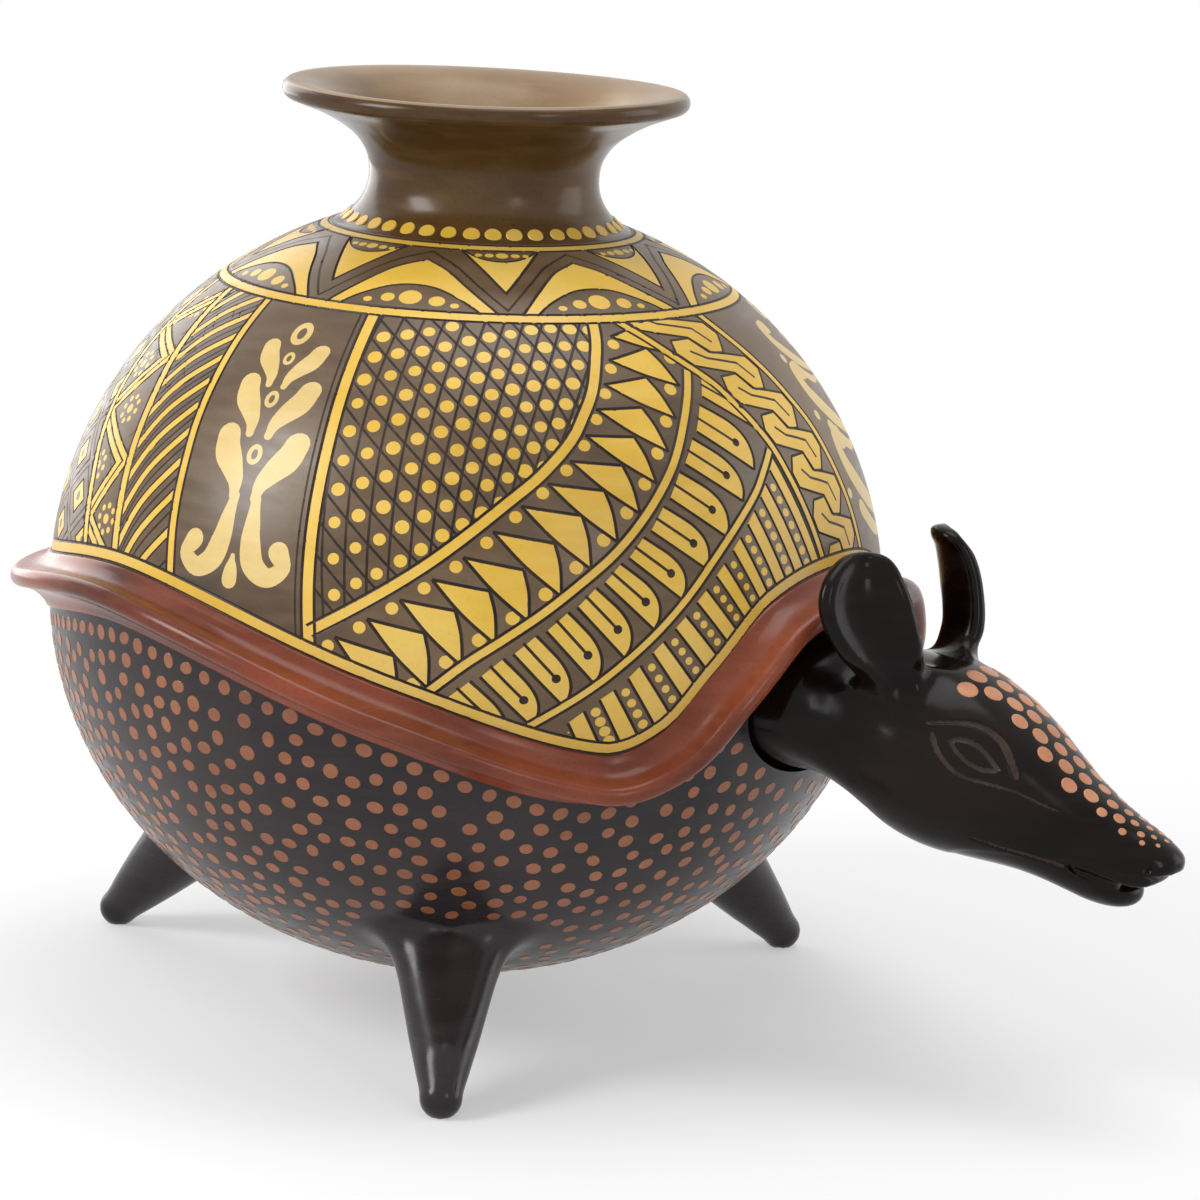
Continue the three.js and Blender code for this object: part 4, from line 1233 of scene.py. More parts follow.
def collar():
    outer = smoothLine(mouth["outer"], mouth["outerStep"])
    centre, radius = Vector(mouth["edgeCentre"]), mouth["edgeRadius"]
    edge = [centre + Vector((math.cos(a), math.sin(a))) * radius
            for a in (math.radians(mouth["edgeFrom"] + mouth["edgeSweep"] * i / mouth["edgeSteps"])
                      for i in range(mouth["edgeSteps"] + 1))]
    profile = outer[:-1] + edge + smoothLine(mouth["inner"], mouth["innerStep"])[1:]
    profile += [Vector(p) for p in mouth["under"]]
    columns, uneven = mouth["columns"], mouth["uneven"]
    waver = random.Random(3)
    phases = [waver.uniform(0, 6.28) for _ in range(2)]
    points = []
    for r, z in profile:
        for j in range(columns):
            turn = 2 * math.pi * j / columns
            share = smoothStep(z, *uneven["between"])
            lift = share * (uneven["lift"] + uneven["wave"] * math.sin(2 * turn + phases[0])
                            - uneven["lean"] * math.cos(turn + uneven["leanTo"]))
            wide = share * uneven["wide"] * math.sin(3 * turn + phases[1])
            points.append(lathePoint(r + wide, z + lift, turn))

    # The paler clay starts on the lip's upper edge
    tan = len(outer) + len(edge) - 4
    faces = quadRows(len(profile), columns, loopRows=True)
    kinds = [1 if tan <= i // columns < len(profile) - 1 else 0 for i in range(len(faces))]
    obj = addObject("collar_and_lip", points, faces,
                    [look["slip_collar"], look["slip_throat"]], kinds)
    turnOutward(obj)
    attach(obj, "vessel")
    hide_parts("collar_neck", "mouth_lip")
    print("collar faces", len(faces))


# A row of painted dots round the foot of the collar
def dotsOnCollar():
    line = smoothLine(mouth["outer"], mouth["outerStep"])
    before, spot = line[mouth["dotRow"] - 1:mouth["dotRow"] + 1]
    along = (spot - before).normalized()
    out = Vector((along.y, -along.x))
    base = spot + out * mouth["dotLift"]
    chance = random.Random(8)
    places, facings = [], []
    for i in range(mouth["dots"]):
        waver = chance.uniform(-mouth["dotWaver"], mouth["dotWaver"])
        turn = 2 * math.pi * (i + waver) / mouth["dots"]
        places.append(lathePoint(base.x, base.y, turn))
        facings.append(Vector((out.x * math.cos(turn), out.x * math.sin(turn), out.y)))
    obj = growDots("collar_dots", places, facings, mouth["dot"], look["slip_yellow"])
    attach(obj, "vessel")
    print("collar dots", len(places))


# Each place is the azimuth, the slope, the length of the fillet and how flat the top is
feet = dict(
    tipAt=113.3, tipHeight=4.7,
    radius=[(0, 5.6), (8, 7.1), (17, 9.1), (26, 10.9), (37, 13.2), (50, 17.0), (62, 20)],
    flatFrom=10, flatPower=1.5,
    places={"foot_front_right": (-60.7, 42.0, 10.5, 0.28),
            "foot_front_left": (61.5, 47.0, 6.5, 0.03),
            "foot_rear": (180.0, 47.0, 6.5, 0.04)},
    fillet=dict(base=0.6, under=0.42, aside=0.4, spread=0.9),
    meetBetween=(5.0, 75.0), root=4.0, tail=[(1.6, -0.05), (3.2, -0.3)],
    columns=72, tipSteps=6, coneSteps=22, filletSteps=10)


# How far a point lies outside the bowl's outer face, roughly
def bowlDistance(point):
    x, y, z = point.x - body["x"], point.y, point.z - body["belly"]
    high = halfHeight(z)
    size = math.sqrt((x * x + y * y) / body["radius"] ** 2 + (z / high) ** 2)
    slope = math.sqrt((x * x + y * y) / body["radius"] ** 4 + z * z / high ** 4) / size
    return (size - 1) / slope


def bowlNormal(point):
    x, y, z = point.x - body["x"], point.y, point.z - body["belly"]
    return Vector((x / body["radius"] ** 2, y / body["radius"] ** 2,
                   z / halfHeight(z) ** 2)).normalized()


def onBowl(point, lift=0.0):
    for _ in range(3):
        point = point - bowlNormal(point) * (bowlDistance(point) - lift)
    return point


def footFrame(degrees, slope):
    turn, tilt = math.radians(degrees), math.radians(slope)
    out = Vector((math.cos(turn), math.sin(turn), 0))
    tip = Vector((body["x"], 0, feet["tipHeight"])) + out * feet["tipAt"]
    axis = (Vector((0, 0, math.sin(tilt))) - out * math.cos(tilt)).normalized()
    first = Vector((-math.sin(turn), math.cos(turn), 0))
    return tip, axis, first, axis.cross(first)


def foot(name, degrees, slope, fillet, flatten):
    tip, axis, first, second = footFrame(degrees, slope)
    radiusAt = through(feet["radius"])
    ball, shares = feet["radius"][0][1], feet["fillet"]
    columns = feet["columns"]
    lines, edge = [], []
    for j in range(columns):
        angle = 2 * math.pi * j / columns
        side = first * math.cos(angle) + second * math.sin(angle)

        # The side that faces up and out is flatter towards the root
        upward = max(0.0, -math.sin(angle)) ** feet["flatPower"]

        def surface(s):
            flat = upward * flatten * max(0.0, s - feet["flatFrom"])
            return tip + axis * s + side * (radiusAt(s) - flat)

        low, high = feet["meetBetween"]
        for _ in range(30):
            middle = (low + high) / 2
            low, high = (middle, high) if bowlDistance(surface(middle)) > 0 else (low, middle)
        meet = surface(low)
        normal = bowlNormal(meet)
        away = (side - normal * side.dot(normal)).normalized()
        blend = fillet * (shares["base"] - shares["under"] * upward
                          + shares["aside"] * math.cos(angle) ** 2)
        far = onBowl(meet + away * blend * shares["spread"])
        near = low - blend
        edge.append(((far - tip).dot(first), (far - tip).dot(second)))
        line = []
        for i in range(1, feet["tipSteps"] + 1):
            bend = math.pi / 2 * i / feet["tipSteps"]
            line.append(tip - axis * ball * math.cos(bend) + side * ball * math.sin(bend))
        line += [surface(near * i / feet["coneSteps"]) for i in range(1, feet["coneSteps"] + 1)]
        line += quadratic(surface(near), meet, far, feet["filletSteps"])
        line += [onBowl(far + away * reach, lift) for reach, lift in feet["tail"]]
        line.append(onBowl(meet - away * feet["root"], -feet["root"]))
        lines.append(line)
    points = [tip - axis * ball]
    rows = len(lines[0])
    points += [lines[j][i] for i in range(rows) for j in range(columns)]
    for p in points:
        p.z = max(p.z, 0.0)
    faces = [(0, 1 + (j + 1) % columns, 1 + j) for j in range(columns)]
    faces += quadRows(rows, columns, 1)
    faces.append(tuple(1 + (rows - 1) * columns + j for j in range(columns)))
    obj = addObject(name + "_cone", [p * mm for p in points], faces, [look["slip_night"]])
    turnOutward(obj)
    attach(obj, "vessel")
    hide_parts(name)
    print(name, "faces", len(faces))
    return tip, axis, first, second, edge


# The spacing goes by azimuth
bowlDots = dict(
    diameter=3.9, thickness=0.09, sizeChange=0.16, seed=11, sides=14,
    spacing=[(0, 6.7), (85, 6.6), (105, 6.1), (130, 5.3), (180, 5.3)],
    firstRow=dict(below=1.7, closest=0.6, step=0.5), tries=16000, highest=0.2, rowGap=4,
    closest=0.80, spreading=16, push=0.24,
    brimGap=0.6, footGap=0.7, holeGap=2.6, topGap=1.0, lowest=11.2)


# Whether a spot is under a foot, from its axis and the edge where it meets the bowl
def onAnyFoot(spot, footings, gap):
    for tip, axis, first, second, edge in footings:
        aside = Vector(((spot - tip).dot(first), (spot - tip).dot(second)))
        if (spot - tip).dot(axis) < 0 or aside.length > 60:
            continue
        turn = math.atan2(aside.y, aside.x)
        near = min(edge, key=lambda p: abs(math.remainder(
            math.atan2(p[1], p[0]) - turn, math.tau)))
        if aside.length < math.hypot(*near) + gap:
            return True
    return False


# The latitude of the brim's lower edge
def belowBrim(azimuth):
    return brimLatitude(azimuth, -brimSize(azimuth)[0] - bowlDots["brimGap"])


def dotsOnBowl(footings):
    chance = random.Random(bowlDots["seed"])
    spacingAt = through(bowlDots["spacing"])
    spots, spacings = np.zeros((0, 3)), np.zeros(0)

    def add(azimuth, latitude, closest):
        nonlocal spots, spacings
        spot = np.array(bodyPoint(azimuth, latitude) / mm)
        spacing = spacingAt(abs(azimuth))
        if not len(spots) or np.linalg.norm(spots - spot, axis=1).min() > closest * spacing:
            spots = np.vstack([spots, spot])
            spacings = np.append(spacings, spacing)

    # One row follows the brim, the rest fall where there is room
    row = bowlDots["firstRow"]
    azimuth = -180.0
    while azimuth < 180:
        add(azimuth, belowBrim(azimuth) - row["below"], row["closest"])
        azimuth += spacingAt(abs(azimuth)) * row["step"]
    for _ in range(bowlDots["tries"]):
        azimuth = chance.uniform(-180, 180)
        latitude = math.degrees(math.asin(chance.uniform(-1, bowlDots["highest"])))
        if latitude < belowBrim(azimuth) - bowlDots["rowGap"]:
            add(azimuth, latitude, bowlDots["closest"])

    # Dots that stand too close push each other away
    wanted = (spacings[:, None] + spacings[None]) / 2
    for _ in range(bowlDots["spreading"]):
        apart = spots[:, None] - spots[None]
        gap = np.linalg.norm(apart, axis=2) + np.eye(len(spots)) * 99
        push = np.maximum(wanted - gap, 0) * bowlDots["push"] / gap
        spots = spots + (apart * push[..., None]).sum(1)
        spots = np.array([onBowl(Vector(s)) for s in spots])
    wide, tall = (bowlShape[n] + bowlDots["holeGap"] for n in ("holeWidth", "holeHeight"))
    places, facings = [], []
    for spot in (Vector(s) for s in spots):
        x, y, z = spot.x - body["x"], spot.y, spot.z
        inHole = x > 0 and (y / wide) ** 2 + ((z - bowlShape["holeLevel"]) / tall) ** 2 < 1
        azimuth = math.degrees(math.atan2(y, x))
        top = bodyPoint(azimuth, belowBrim(azimuth)).z / mm
        if inHole or z > top - bowlDots["topGap"] or z < bowlDots["lowest"]:
            continue
        if onAnyFoot(spot, footings, bowlDots["footGap"]):
            continue
        places.append(spot * mm)
        facings.append(bowlNormal(spot))
    obj = growDots("bowl_dots", places, facings, bowlDots, look["slip_orange"])
    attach(obj, "vessel")
    print("bowl dots", len(places))


bowl()
brimPiece()
collar()
dotsOnCollar()
dotsOnBowl([foot(name, *shape) for name, shape in feet["places"].items()])

# Sections along the head: place from the body's axis, top, bottom, half width, squareness
head = dict(
    skull=[(78, 123.66, 83.66, 36, 2.0), (112, 123.66, 83.66, 36, 2.0),
           (118, 123.6, 83.4, 35.6, 2.0), (122, 122.6, 82.0, 33.6, 2.0),
           (127, 120.4, 78.6, 29.9, 2.0), (132, 118.7, 74.6, 27.2, 2.0),
           (138, 117.9, 70.8, 26.6, 2.05), (145, 117.7, 68.4, 27.0, 2.1),
           (151, 117.0, 67.2, 26.5, 2.15), (157, 115.2, 66.7, 25.2, 2.2),
           (163, 112.2, 66.3, 23.6, 2.25), (169, 108.4, 65.9, 21.9, 2.3),
           (175, 103.8, 65.2, 20.0, 2.35), (181, 98.4, 63.9, 17.9, 2.4),
           (187, 93.2, 62.1, 15.9, 2.4), (193, 88.9, 60.2, 14.0, 2.35),
           (199, 85.2, 59.5, 12.4, 2.3), (204, 82.4, 60.4, 11.2, 2.25),
           (208, 80.4, 62.0, 9.9, 2.2), (211.5, 78.4, 64.5, 8.2, 2.1),
           (213.8, 76.9, 67.6, 6.2, 2.0), (215.2, 75.6, 70.5, 3.9, 2.0),
           (216.0, 74.3, 72.3, 1.4, 2.0)],
    noseEnd=216.0, lipEnd=211.4, jawEnd=205.2,
    mouthTop=[(150, 66), (160, 71.0), (173.6, 72.6), (184, 71.9), (189, 71.7), (192.3, 71.2),
              (199, 69.4), (206, 67.6), (214, 67.9)],
    lipTop=[(150, 62), (184, 71.5), (189, 73.0), (193, 72.8), (198.8, 71.9), (203.3, 70.8),
            (207, 70.4), (214, 71.0)],
    mouthBottom=[(150, 78), (160, 77.5), (173.6, 76.0), (184, 74.0), (188.6, 72.4), (190.4, 70.4),
                 (193.0, 68.8), (199, 67.4), (203.4, 66.2), (214, 65.8)],
    neckRear=80.36, pinAt=91.36, level=103.66, bore=3.3,
    wall=7, hollowEnd=176, neckEnd=112, neckHollow=(117.66, 89.66, 30.0),
    grid=((78, -47, 52), (218, 47, 152)), cell=1.0)

# How far the lips and the jaw are set in, and how their ends curve and are rounded
muzzle = dict(
    edge=0.9, seams=(0.5, 0.4),
    lip=dict(inset=0.35, gap=0.2, middle=69, curve=0.12, bend=0.02, round=1.6),
    jaw=dict(inset=0.2, middle=63.5, curve=0.06, bend=0.05, round=2.2),
    core=dict(inset=1.7, shorter=3.5, round=1.0))

# The ear's middle line by height, its half width, how deep it is cupped and how thick it is
ear = dict(
    turn=40.0,
    spine=[(98, 141.0, 10.0), (104, 140.6, 14.0), (110.8, 139.8, 17.8), (116, 140.0, 21.2),
           (122, 139.4, 26.2), (132, 136.5, 29.6), (141, 134.4, 29.2), (147.8, 132.9, 25.4)],
    halfWidth=[(98, 6.4), (108, 6.2), (112, 6.7), (117, 8.8), (121, 10.7), (126, 12.2), (131, 12.9),
               (136, 12.6), (139.5, 11.6), (142.5, 10.0), (144.8, 8.1), (146.4, 6.3), (147.4, 4.5),
               (148.0, 2.6), (148.3, 0.8)],
    cup=[(98, 0.8), (110, 1.4), (115, 2.6), (121, 4.2), (127, 5.0), (134, 5.2), (141, 5.0),
         (149.2, 4.6)],
    thick=[(98, 11.0), (108, 10.4), (113, 8.8), (118, 7.0), (124, 5.6), (132, 5.0), (141, 4.9),
           (149.2, 4.8)],
    foot=99.0, top=148.7, melt=7.0, cupLimit=0.55, centring=0.66, sideRound=3.4, topRound=2.4)


# Smooth curves through a table's columns, ready for whole arrays of keys
class Curves:

    def __init__(self, rows, step=0.25):
        self.keys = np.arange(rows[0][0], rows[-1][0] + step, step)
        self.columns = []
        for column in range(1, len(rows[0])):
            curve = through([(row[0], row[column]) for row in rows])
            self.columns.append(np.array([curve(k) for k in self.keys]))

    def __call__(self, keys):
        found = [np.interp(keys, self.keys, values) for values in self.columns]
        return found if len(found) > 1 else found[0]


skullAt = Curves(head["skull"])
mouthTopAt, lipTopAt = Curves(head["mouthTop"]), Curves(head["lipTop"])
mouthBottomAt = Curves(head["mouthBottom"])
spineAt, earWidthAt = Curves(ear["spine"]), Curves(ear["halfWidth"])
cupAt, earThickAt = Curves(ear["cup"]), Curves(ear["thick"])


# Either of two distances, or both, with a rounding of some reach between them
def meltTogether(a, b, reach):
    gap = np.maximum(reach - np.abs(a - b), 0) / reach
    return np.minimum(a, b) - gap * gap * reach / 4


def keepBoth(a, b, reach):
    return -meltTogether(-a, -b, reach)


# Roughly the distance from an oval whose power makes it squarer
def ovalDistance(y, z, top, bottom, width, power):
    middle, half = (top + bottom) / 2, np.maximum((top - bottom) / 2, 0.4)
    u, v = np.abs(y) / width, np.abs(z - middle) / half
    total = u ** power + v ** power + 1e-9
    slope = np.hypot(u ** (power - 1) / width, v ** (power - 1) / half) * total ** (1 / power - 1)
    return (total ** (1 / power) - 1) / np.maximum(slope, 1e-4)


def earDistance(x, y, z):
    turn = math.radians(ear["turn"])
    middleX, middleY = spineAt(z)
    thick, width = earThickAt(z) / 2, earWidthAt(z)
    cup = np.minimum(cupAt(z), ear["cupLimit"] * width)
    out = (x - middleX) * math.cos(turn) + (y - middleY) * math.sin(turn)
    across = -(x - middleX) * math.sin(turn) + (y - middleY) * math.cos(turn)

    # Each cut through the ear is an arc, and its edges are rounded
    bend = (width * width + cup * cup) / (2 * cup)
    centre = bend - ear["centring"] * cup
    angle = np.arctan2(np.abs(across), centre - out)
    face = np.abs(np.hypot(across, centre - out) - bend) - thick
    spread = (earWidthAt(z + 0.25) - earWidthAt(z - 0.25)) / 0.5
    side = bend * (angle - np.arcsin(np.minimum(width / bend, 1))) / np.sqrt(1 + spread ** 2)
    shell = keepBoth(face, side, ear["sideRound"])
    shell = keepBoth(shell, z - ear["top"], ear["topRound"])
    return np.maximum(shell, ear["foot"] - z)


# Below zero inside the clay. Millimetres from the body's axis
def headDistance(x, y, z):
    y = np.abs(y)
    top, bottom, width, power = skullAt(x)
    whole = ovalDistance(y, z, top, bottom, width, power)
    upper, lip, lower = mouthTopAt(x), lipTopAt(x), mouthBottomAt(x)

    # The muzzle is cut into a nose, an upper lip and a jaw, each shorter than the last
    edge = muzzle["edge"]
    nose = keepBoth(np.maximum(whole, x - head["noseEnd"]), np.maximum(upper, lip) - z, edge)

    def shortened(part, end, shape):
        return keepBoth(part, x - end + shape["curve"] * (z - shape["middle"]) ** 2
                        + shape["bend"] * y * y, shape["round"])

    shape = muzzle["lip"]
    lipPart = keepBoth(whole + shape["inset"], np.maximum(upper - z, z - lip + shape["gap"]), edge)
    lipPart = shortened(lipPart, head["lipEnd"], shape)
    shape = muzzle["jaw"]
    jaw = shortened(keepBoth(whole + shape["inset"], z - lower, edge), head["jawEnd"], shape)
    shape = muzzle["core"]
    core = keepBoth(whole + shape["inset"], x - head["jawEnd"] + shape["shorter"], shape["round"])
    jawSeam, lipSeam = muzzle["seams"]
    skull = meltTogether(meltTogether(nose, jaw, jawSeam), np.minimum(lipPart, core), lipSeam)
    skull = meltTogether(skull, earDistance(x, y, z), ear["melt"])

    # The inside is hollow, and the neck is open at the back and bored for the pin
    wall = head["wall"]
    hollow = ovalDistance(y, z, top - wall, bottom + wall, np.maximum(width - wall, 3), power)
    neckTop, neckBottom, neckWidth = head["neckHollow"]
    neckHollow = ovalDistance(y, z, neckTop, neckBottom, np.full_like(x, neckWidth),
                              np.full_like(x, 2.0))
    hollow = np.where(x < head["neckEnd"], neckHollow, np.maximum(hollow, x - head["hollowEnd"]))
    solid = np.maximum(skull, -hollow)
    solid = np.maximum(solid, head["neckRear"] - x)
    return np.maximum(solid, head["bore"] - np.hypot(x - head["pinAt"], z - head["level"]))


# Points and quads on the zero level, from a grid of samples: each cell that the level
# passes holds one point
def zeroSkin(distance, low, high, step):
    axes = [np.arange(a, b + step, step) for a, b in zip(low, high)]
    x, y, z = np.meshgrid(*axes, indexing="ij")
    field = distance(x, y, z)
    inside = field < 0
    shape = tuple(n - 1 for n in field.shape)
    total, count = np.zeros(shape + (3,)), np.zeros(shape)

    def part(array, i, j, k):
        return array[i:i + shape[0], j:j + shape[1], k:k + shape[2]]

    corners = [(i, j, k) for i in (0, 1) for j in (0, 1) for k in (0, 1)]
    for a in corners:
        for axis in range(3):
            if a[axis]:
                continue
            b = tuple(c + (n == axis) for n, c in enumerate(a))
            fa, fb = part(field, *a), part(field, *b)
            cross = part(inside, *a) != part(inside, *b)
            share = np.where(cross, fa / np.where(cross, fa - fb, 1), 0)
            for n in range(3):
                total[..., n] += np.where(cross, a[n] + (share if n == axis else 0), 0)
            count += cross
    active = count > 0
    number = np.full(shape, -1)
    number[active] = np.arange(active.sum())
    cells = np.argwhere(active)
    points = (cells + total[active] / count[active][:, None]) * step + np.array(low)
    quads = []
    for axis in range(3):
        first, second = [n for n in range(3) if n != axis]
        start = [slice(1, n) for n in shape]
        start[axis] = slice(0, shape[axis])
        end = list(start)
        end[axis] = slice(1, shape[axis] + 1)
        a, b = inside[tuple(start)], inside[tuple(end)]
        found = np.argwhere(a != b)
        found[:, first] += 1
        found[:, second] += 1
        leaving = inside[tuple(found.T)]
        corner = []
        for da, db in ((1, 1), (0, 1), (0, 0), (1, 0)):
            cell = found.copy()
            cell[:, first] -= da
            cell[:, second] -= db
            corner.append(number[tuple(cell.T)])
        made = np.stack(corner, 1)
        flip = leaving if axis != 1 else ~leaving
        made[~flip] = made[~flip][:, ::-1]
        quads.append(made)
    return points, np.concatenate(quads)


# Moves each point halfway to the middle of its neighbours
def relax(points, quads, rounds):
    ends = np.concatenate([quads[:, (i, (i + 1) % 4)] for i in range(4)])
    ends = np.unique(np.sort(ends, 1), axis=0)
    count = np.bincount(ends.ravel(), minlength=len(points))[:, None]
    for _ in range(rounds):
        total = np.zeros_like(points)
        for a, b in ((0, 1), (1, 0)):
            np.add.at(total, ends[:, a], points[ends[:, b]])
        points = (points + total / np.maximum(count, 1)) / 2
    return points


# Moves points onto the zero level
def settle(distance, points, rounds=2, limit=0.6, reach=0.15):
    for _ in range(rounds):
        x, y, z = points.T
        slope = np.stack([
            distance(x + reach, y, z) - distance(x - reach, y, z),
            distance(x, y + reach, z) - distance(x, y - reach, z),
            distance(x, y, z + reach) - distance(x, y, z - reach)], 1) / (2 * reach)
        size = np.maximum((slope ** 2).sum(1), 0.15)
        move = -slope * (distance(x, y, z) / size)[:, None]
        length = np.linalg.norm(move, axis=1)
        points = points + move * np.minimum(1, limit / np.maximum(length, 1e-9))[:, None]
    return points


# Lines cut into each side of the head, by place along it and height, with the width at
# either end and the depth
carving = dict(
    brow=([(151.5, 105.4), (155.5, 105.9), (158.4, 106.1), (161.2, 106.0), (164.1, 105.4),
           (167.1, 104.1), (169.9, 102.2), (172.1, 99.9), (173.8, 97.4), (175.2, 94.9),
           (175.9, 93.4)], 0.75, 1.45, 0.55),
    eye=([(158.7, 101.4), (160.6, 102.2), (163.3, 101.7), (165.8, 100.4), (168.0, 98.7),
          (169.8, 96.8), (171.0, 95.3), (169.3, 95.0), (167.0, 95.2), (164.5, 96.1),
          (162.3, 97.6), (160.4, 99.3), (158.7, 101.4)], 1.15, 1.15, 0.5),
    under=([(153.9, 102.9), (155.0, 100.6), (156.5, 98.1), (158.6, 95.7), (161.1, 93.7),
            (163.8, 92.6), (167.0, 91.9), (170.5, 91.3), (174.5, 90.5), (178.7, 89.0),
            (182.6, 87.3), (186.7, 85.7)], 1.45, 0.6, 0.5),
    mouth=([(164.6, 76.0), (166.6, 75.6), (173.6, 74.1), (183, 72.5), (191.0, 71.0)],
           0.6, 1.3, 0.7),
    nostril=([(209.6, 72.9), (210.4, 72.5), (211.2, 72.2)], 1.9, 1.9, 1.5))


# Where the head is carved, the rounds of splitting as (longest edge, reach), and how wide
# a line is pressed in and darkened
cutting = dict(splitFrom=150, splitAbove=63, splitAside=4, splits=((0.7, 1.9), (0.4, 1.2)),
               aside=4, start=148, above=60, facing=0.4, pressed=0.72, dark=0.56, darkTo=205)


# Splits the faces near the carved lines, and gives the lines as a tree of marks
def carve(obj):
    work = bmesh.new()
    work.from_mesh(obj.data)

    def carvable(face):
        middle = face.calc_center_median()
        return (middle.x > (body["x"] + cutting["splitFrom"]) * mm
                and middle.z > cutting["splitAbove"] * mm)

    bmesh.ops.triangulate(work, faces=[f for f in work.faces if carvable(f)])
    marks = []
    for line, startWidth, endWidth, depth in carving.values():
        line = smoothLine(line, 0.25)
        for i, p in enumerate(line):
            width = startWidth + (endWidth - startWidth) * i / (len(line) - 1)
            fade = min(1.0, (i + 2) / 8, (len(line) + 1 - i) / 8) if line[0] != line[-1] else 1.0
            marks.append((p, width * (0.6 + 0.4 * fade), depth * fade))
    tree = kdtree.KDTree(len(marks))
    for i, (p, _, _) in enumerate(marks):
        tree.insert((p.x, 0, p.y), i)
    tree.balance()

    def nearest(vertex):
        x, z = vertex.co.x / mm - body["x"], vertex.co.z / mm
        return tree.find((x, 0, z))

    for limit, reach in cutting["splits"]:
        near = {v for v in work.verts
                if abs(v.co.y) > cutting["splitAside"] * mm and nearest(v)[2] < reach}
        edges = [e for e in work.edges if e.verts[0] in near and e.verts[1] in near
                 and e.calc_length() > limit * mm]
        bmesh.ops.subdivide_edges(work, edges=edges, cuts=1)
        bmesh.ops.triangulate(work, faces=[
            f for f in work.faces
            if len(f.verts) > 4 or (len(f.verts) == 4 and any(v in near for v in f.verts))])
    work.to_mesh(obj.data)
    work.free()
    return tree, marks


def headPiece():
    points, quads = zeroSkin(headDistance, *head["grid"], head["cell"])
    for _ in range(3):
        points = settle(headDistance, relax(points, quads, 2))
    print("head grid", len(quads))
    place = [((body["x"] + p[0]) * mm, p[1] * mm, p[2] * mm) for p in points]
    obj = addObject("head_and_neck", place, quads.tolist(),
                    [look["slip_black"], look["slip_scratch"], look["clay_inside"]])
    tree, marks = carve(obj)
    mesh = obj.data
    count = len(mesh.vertices)
    flat = np.empty(count * 3)
    mesh.vertices.foreach_get("co", flat)
    middle = np.array([body["x"], 0, 0])
    points = settle(headDistance, flat.reshape(-1, 3) / mm - middle, 1, 0.3)
    mesh.vertices.foreach_set("co", ((points + middle) * mm).ravel())
    mesh.update()

    # The carved lines are pressed in along the skin's own normals
    facing = np.empty(count * 3)
    mesh.vertices.foreach_get("normal", facing)
    facing = facing.reshape(-1, 3)
    carved = set()
    for i in np.nonzero((np.abs(points[:, 1]) > cutting["aside"])
                        & (points[:, 0] > cutting["start"]) & (points[:, 2] > cutting["above"]))[0]:
        _, mark, away = tree.find((points[i, 0], 0, points[i, 2]))
        _, width, depth = marks[mark]
        outside = facing[i, 1] * math.copysign(1, points[i, 1]) > cutting["facing"]
        reach = width * cutting["pressed"]
        if away < reach and outside:
            points[i] -= facing[i] * depth * (1 - (away / reach) ** 2)
            if away < width * cutting["dark"] and points[i, 0] < cutting["darkTo"]:
                carved.add(int(i))
    mesh.vertices.foreach_set("co", ((points + middle) * mm).ravel())
    for polygon in mesh.polygons:
        if all(v in carved for v in polygon.vertices):
            polygon.material_index = 1
        polygon.use_smooth = True
    mesh.update()
    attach(obj, "head")
    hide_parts("neck_tube", "head", "ear_right", "ear_left")
    print("head faces", len(mesh.polygons))


# Painted dots down the snout: place along the head, aside from its middle, diameter
snoutDots = [
    (157.6, -11.2, 5.9), (156.8, -3.9, 6.0), (156.8, 3.6, 6.0), (157.4, 10.8, 5.8),
    (162.8, -6.3, 5.4), (162.7, 1.2, 5.2), (162.8, 7.9, 5.4),
    (167.8, -3.2, 4.9), (167.9, 3.6, 4.8), (168.1, 9.6, 4.6),
    (171.3, -7.6, 4.9), (172.3, -0.6, 4.7), (171.5, 6.6, 4.8),
    (176.3, -5.2, 4.9), (176.7, 2.4, 4.7), (176.5, 8.6, 4.6),
    (179.4, -8.6, 4.5), (180.6, -1.4, 4.5), (180.3, 5.9, 4.5),
    (184.0, -5.1, 4.5), (184.6, 2.1, 4.4), (184.3, 8.6, 4.3),
    (186.8, -9.0, 4.7), (188.3, -2.0, 4.3), (188.4, 5.2, 4.3),
    (191.8, -5.8, 4.4), (192.4, 1.6, 3.9), (191.9, 8.0, 4.2),
    (195.7, -7.4, 3.0), (196.4, -2.1, 3.5), (196.2, 4.9, 3.3),
    (199.7, -5.1, 3.3), (200.1, 0.2, 2.9), (199.9, 5.4, 3.1),
    (201.8, -7.6, 2.1), (203.0, -2.4, 2.5), (202.9, 3.0, 2.4), (202.3, 7.3, 2.0),
    (205.8, -4.7, 2.0), (206.1, 0.4, 2.0), (205.9, 4.8, 1.9),
    (207.0, -6.6, 1.5), (208.5, -2.4, 1.6), (208.6, 2.3, 1.5), (207.2, 6.5, 1.4),
    (210.4, -4.0, 1.3), (211.0, 0.4, 1.4), (210.6, 4.2, 1.3)]


snoutPaint = dict(sides=16, rings=(0.35, 0.7, 0.94, 1.0), lift=0.1, sink=0.12, above=130.0,
                  larger=(1.0, 1.12), probe=0.3)


# The way out of the clay at each point
def wayOut(points):
    reach = snoutPaint["probe"]
    slope = np.stack([headDistance(*(points + reach * e).T) - headDistance(*(points - reach * e).T)
                      for e in np.eye(3)], 1)
    return slope / np.linalg.norm(slope, axis=1)[:, None]


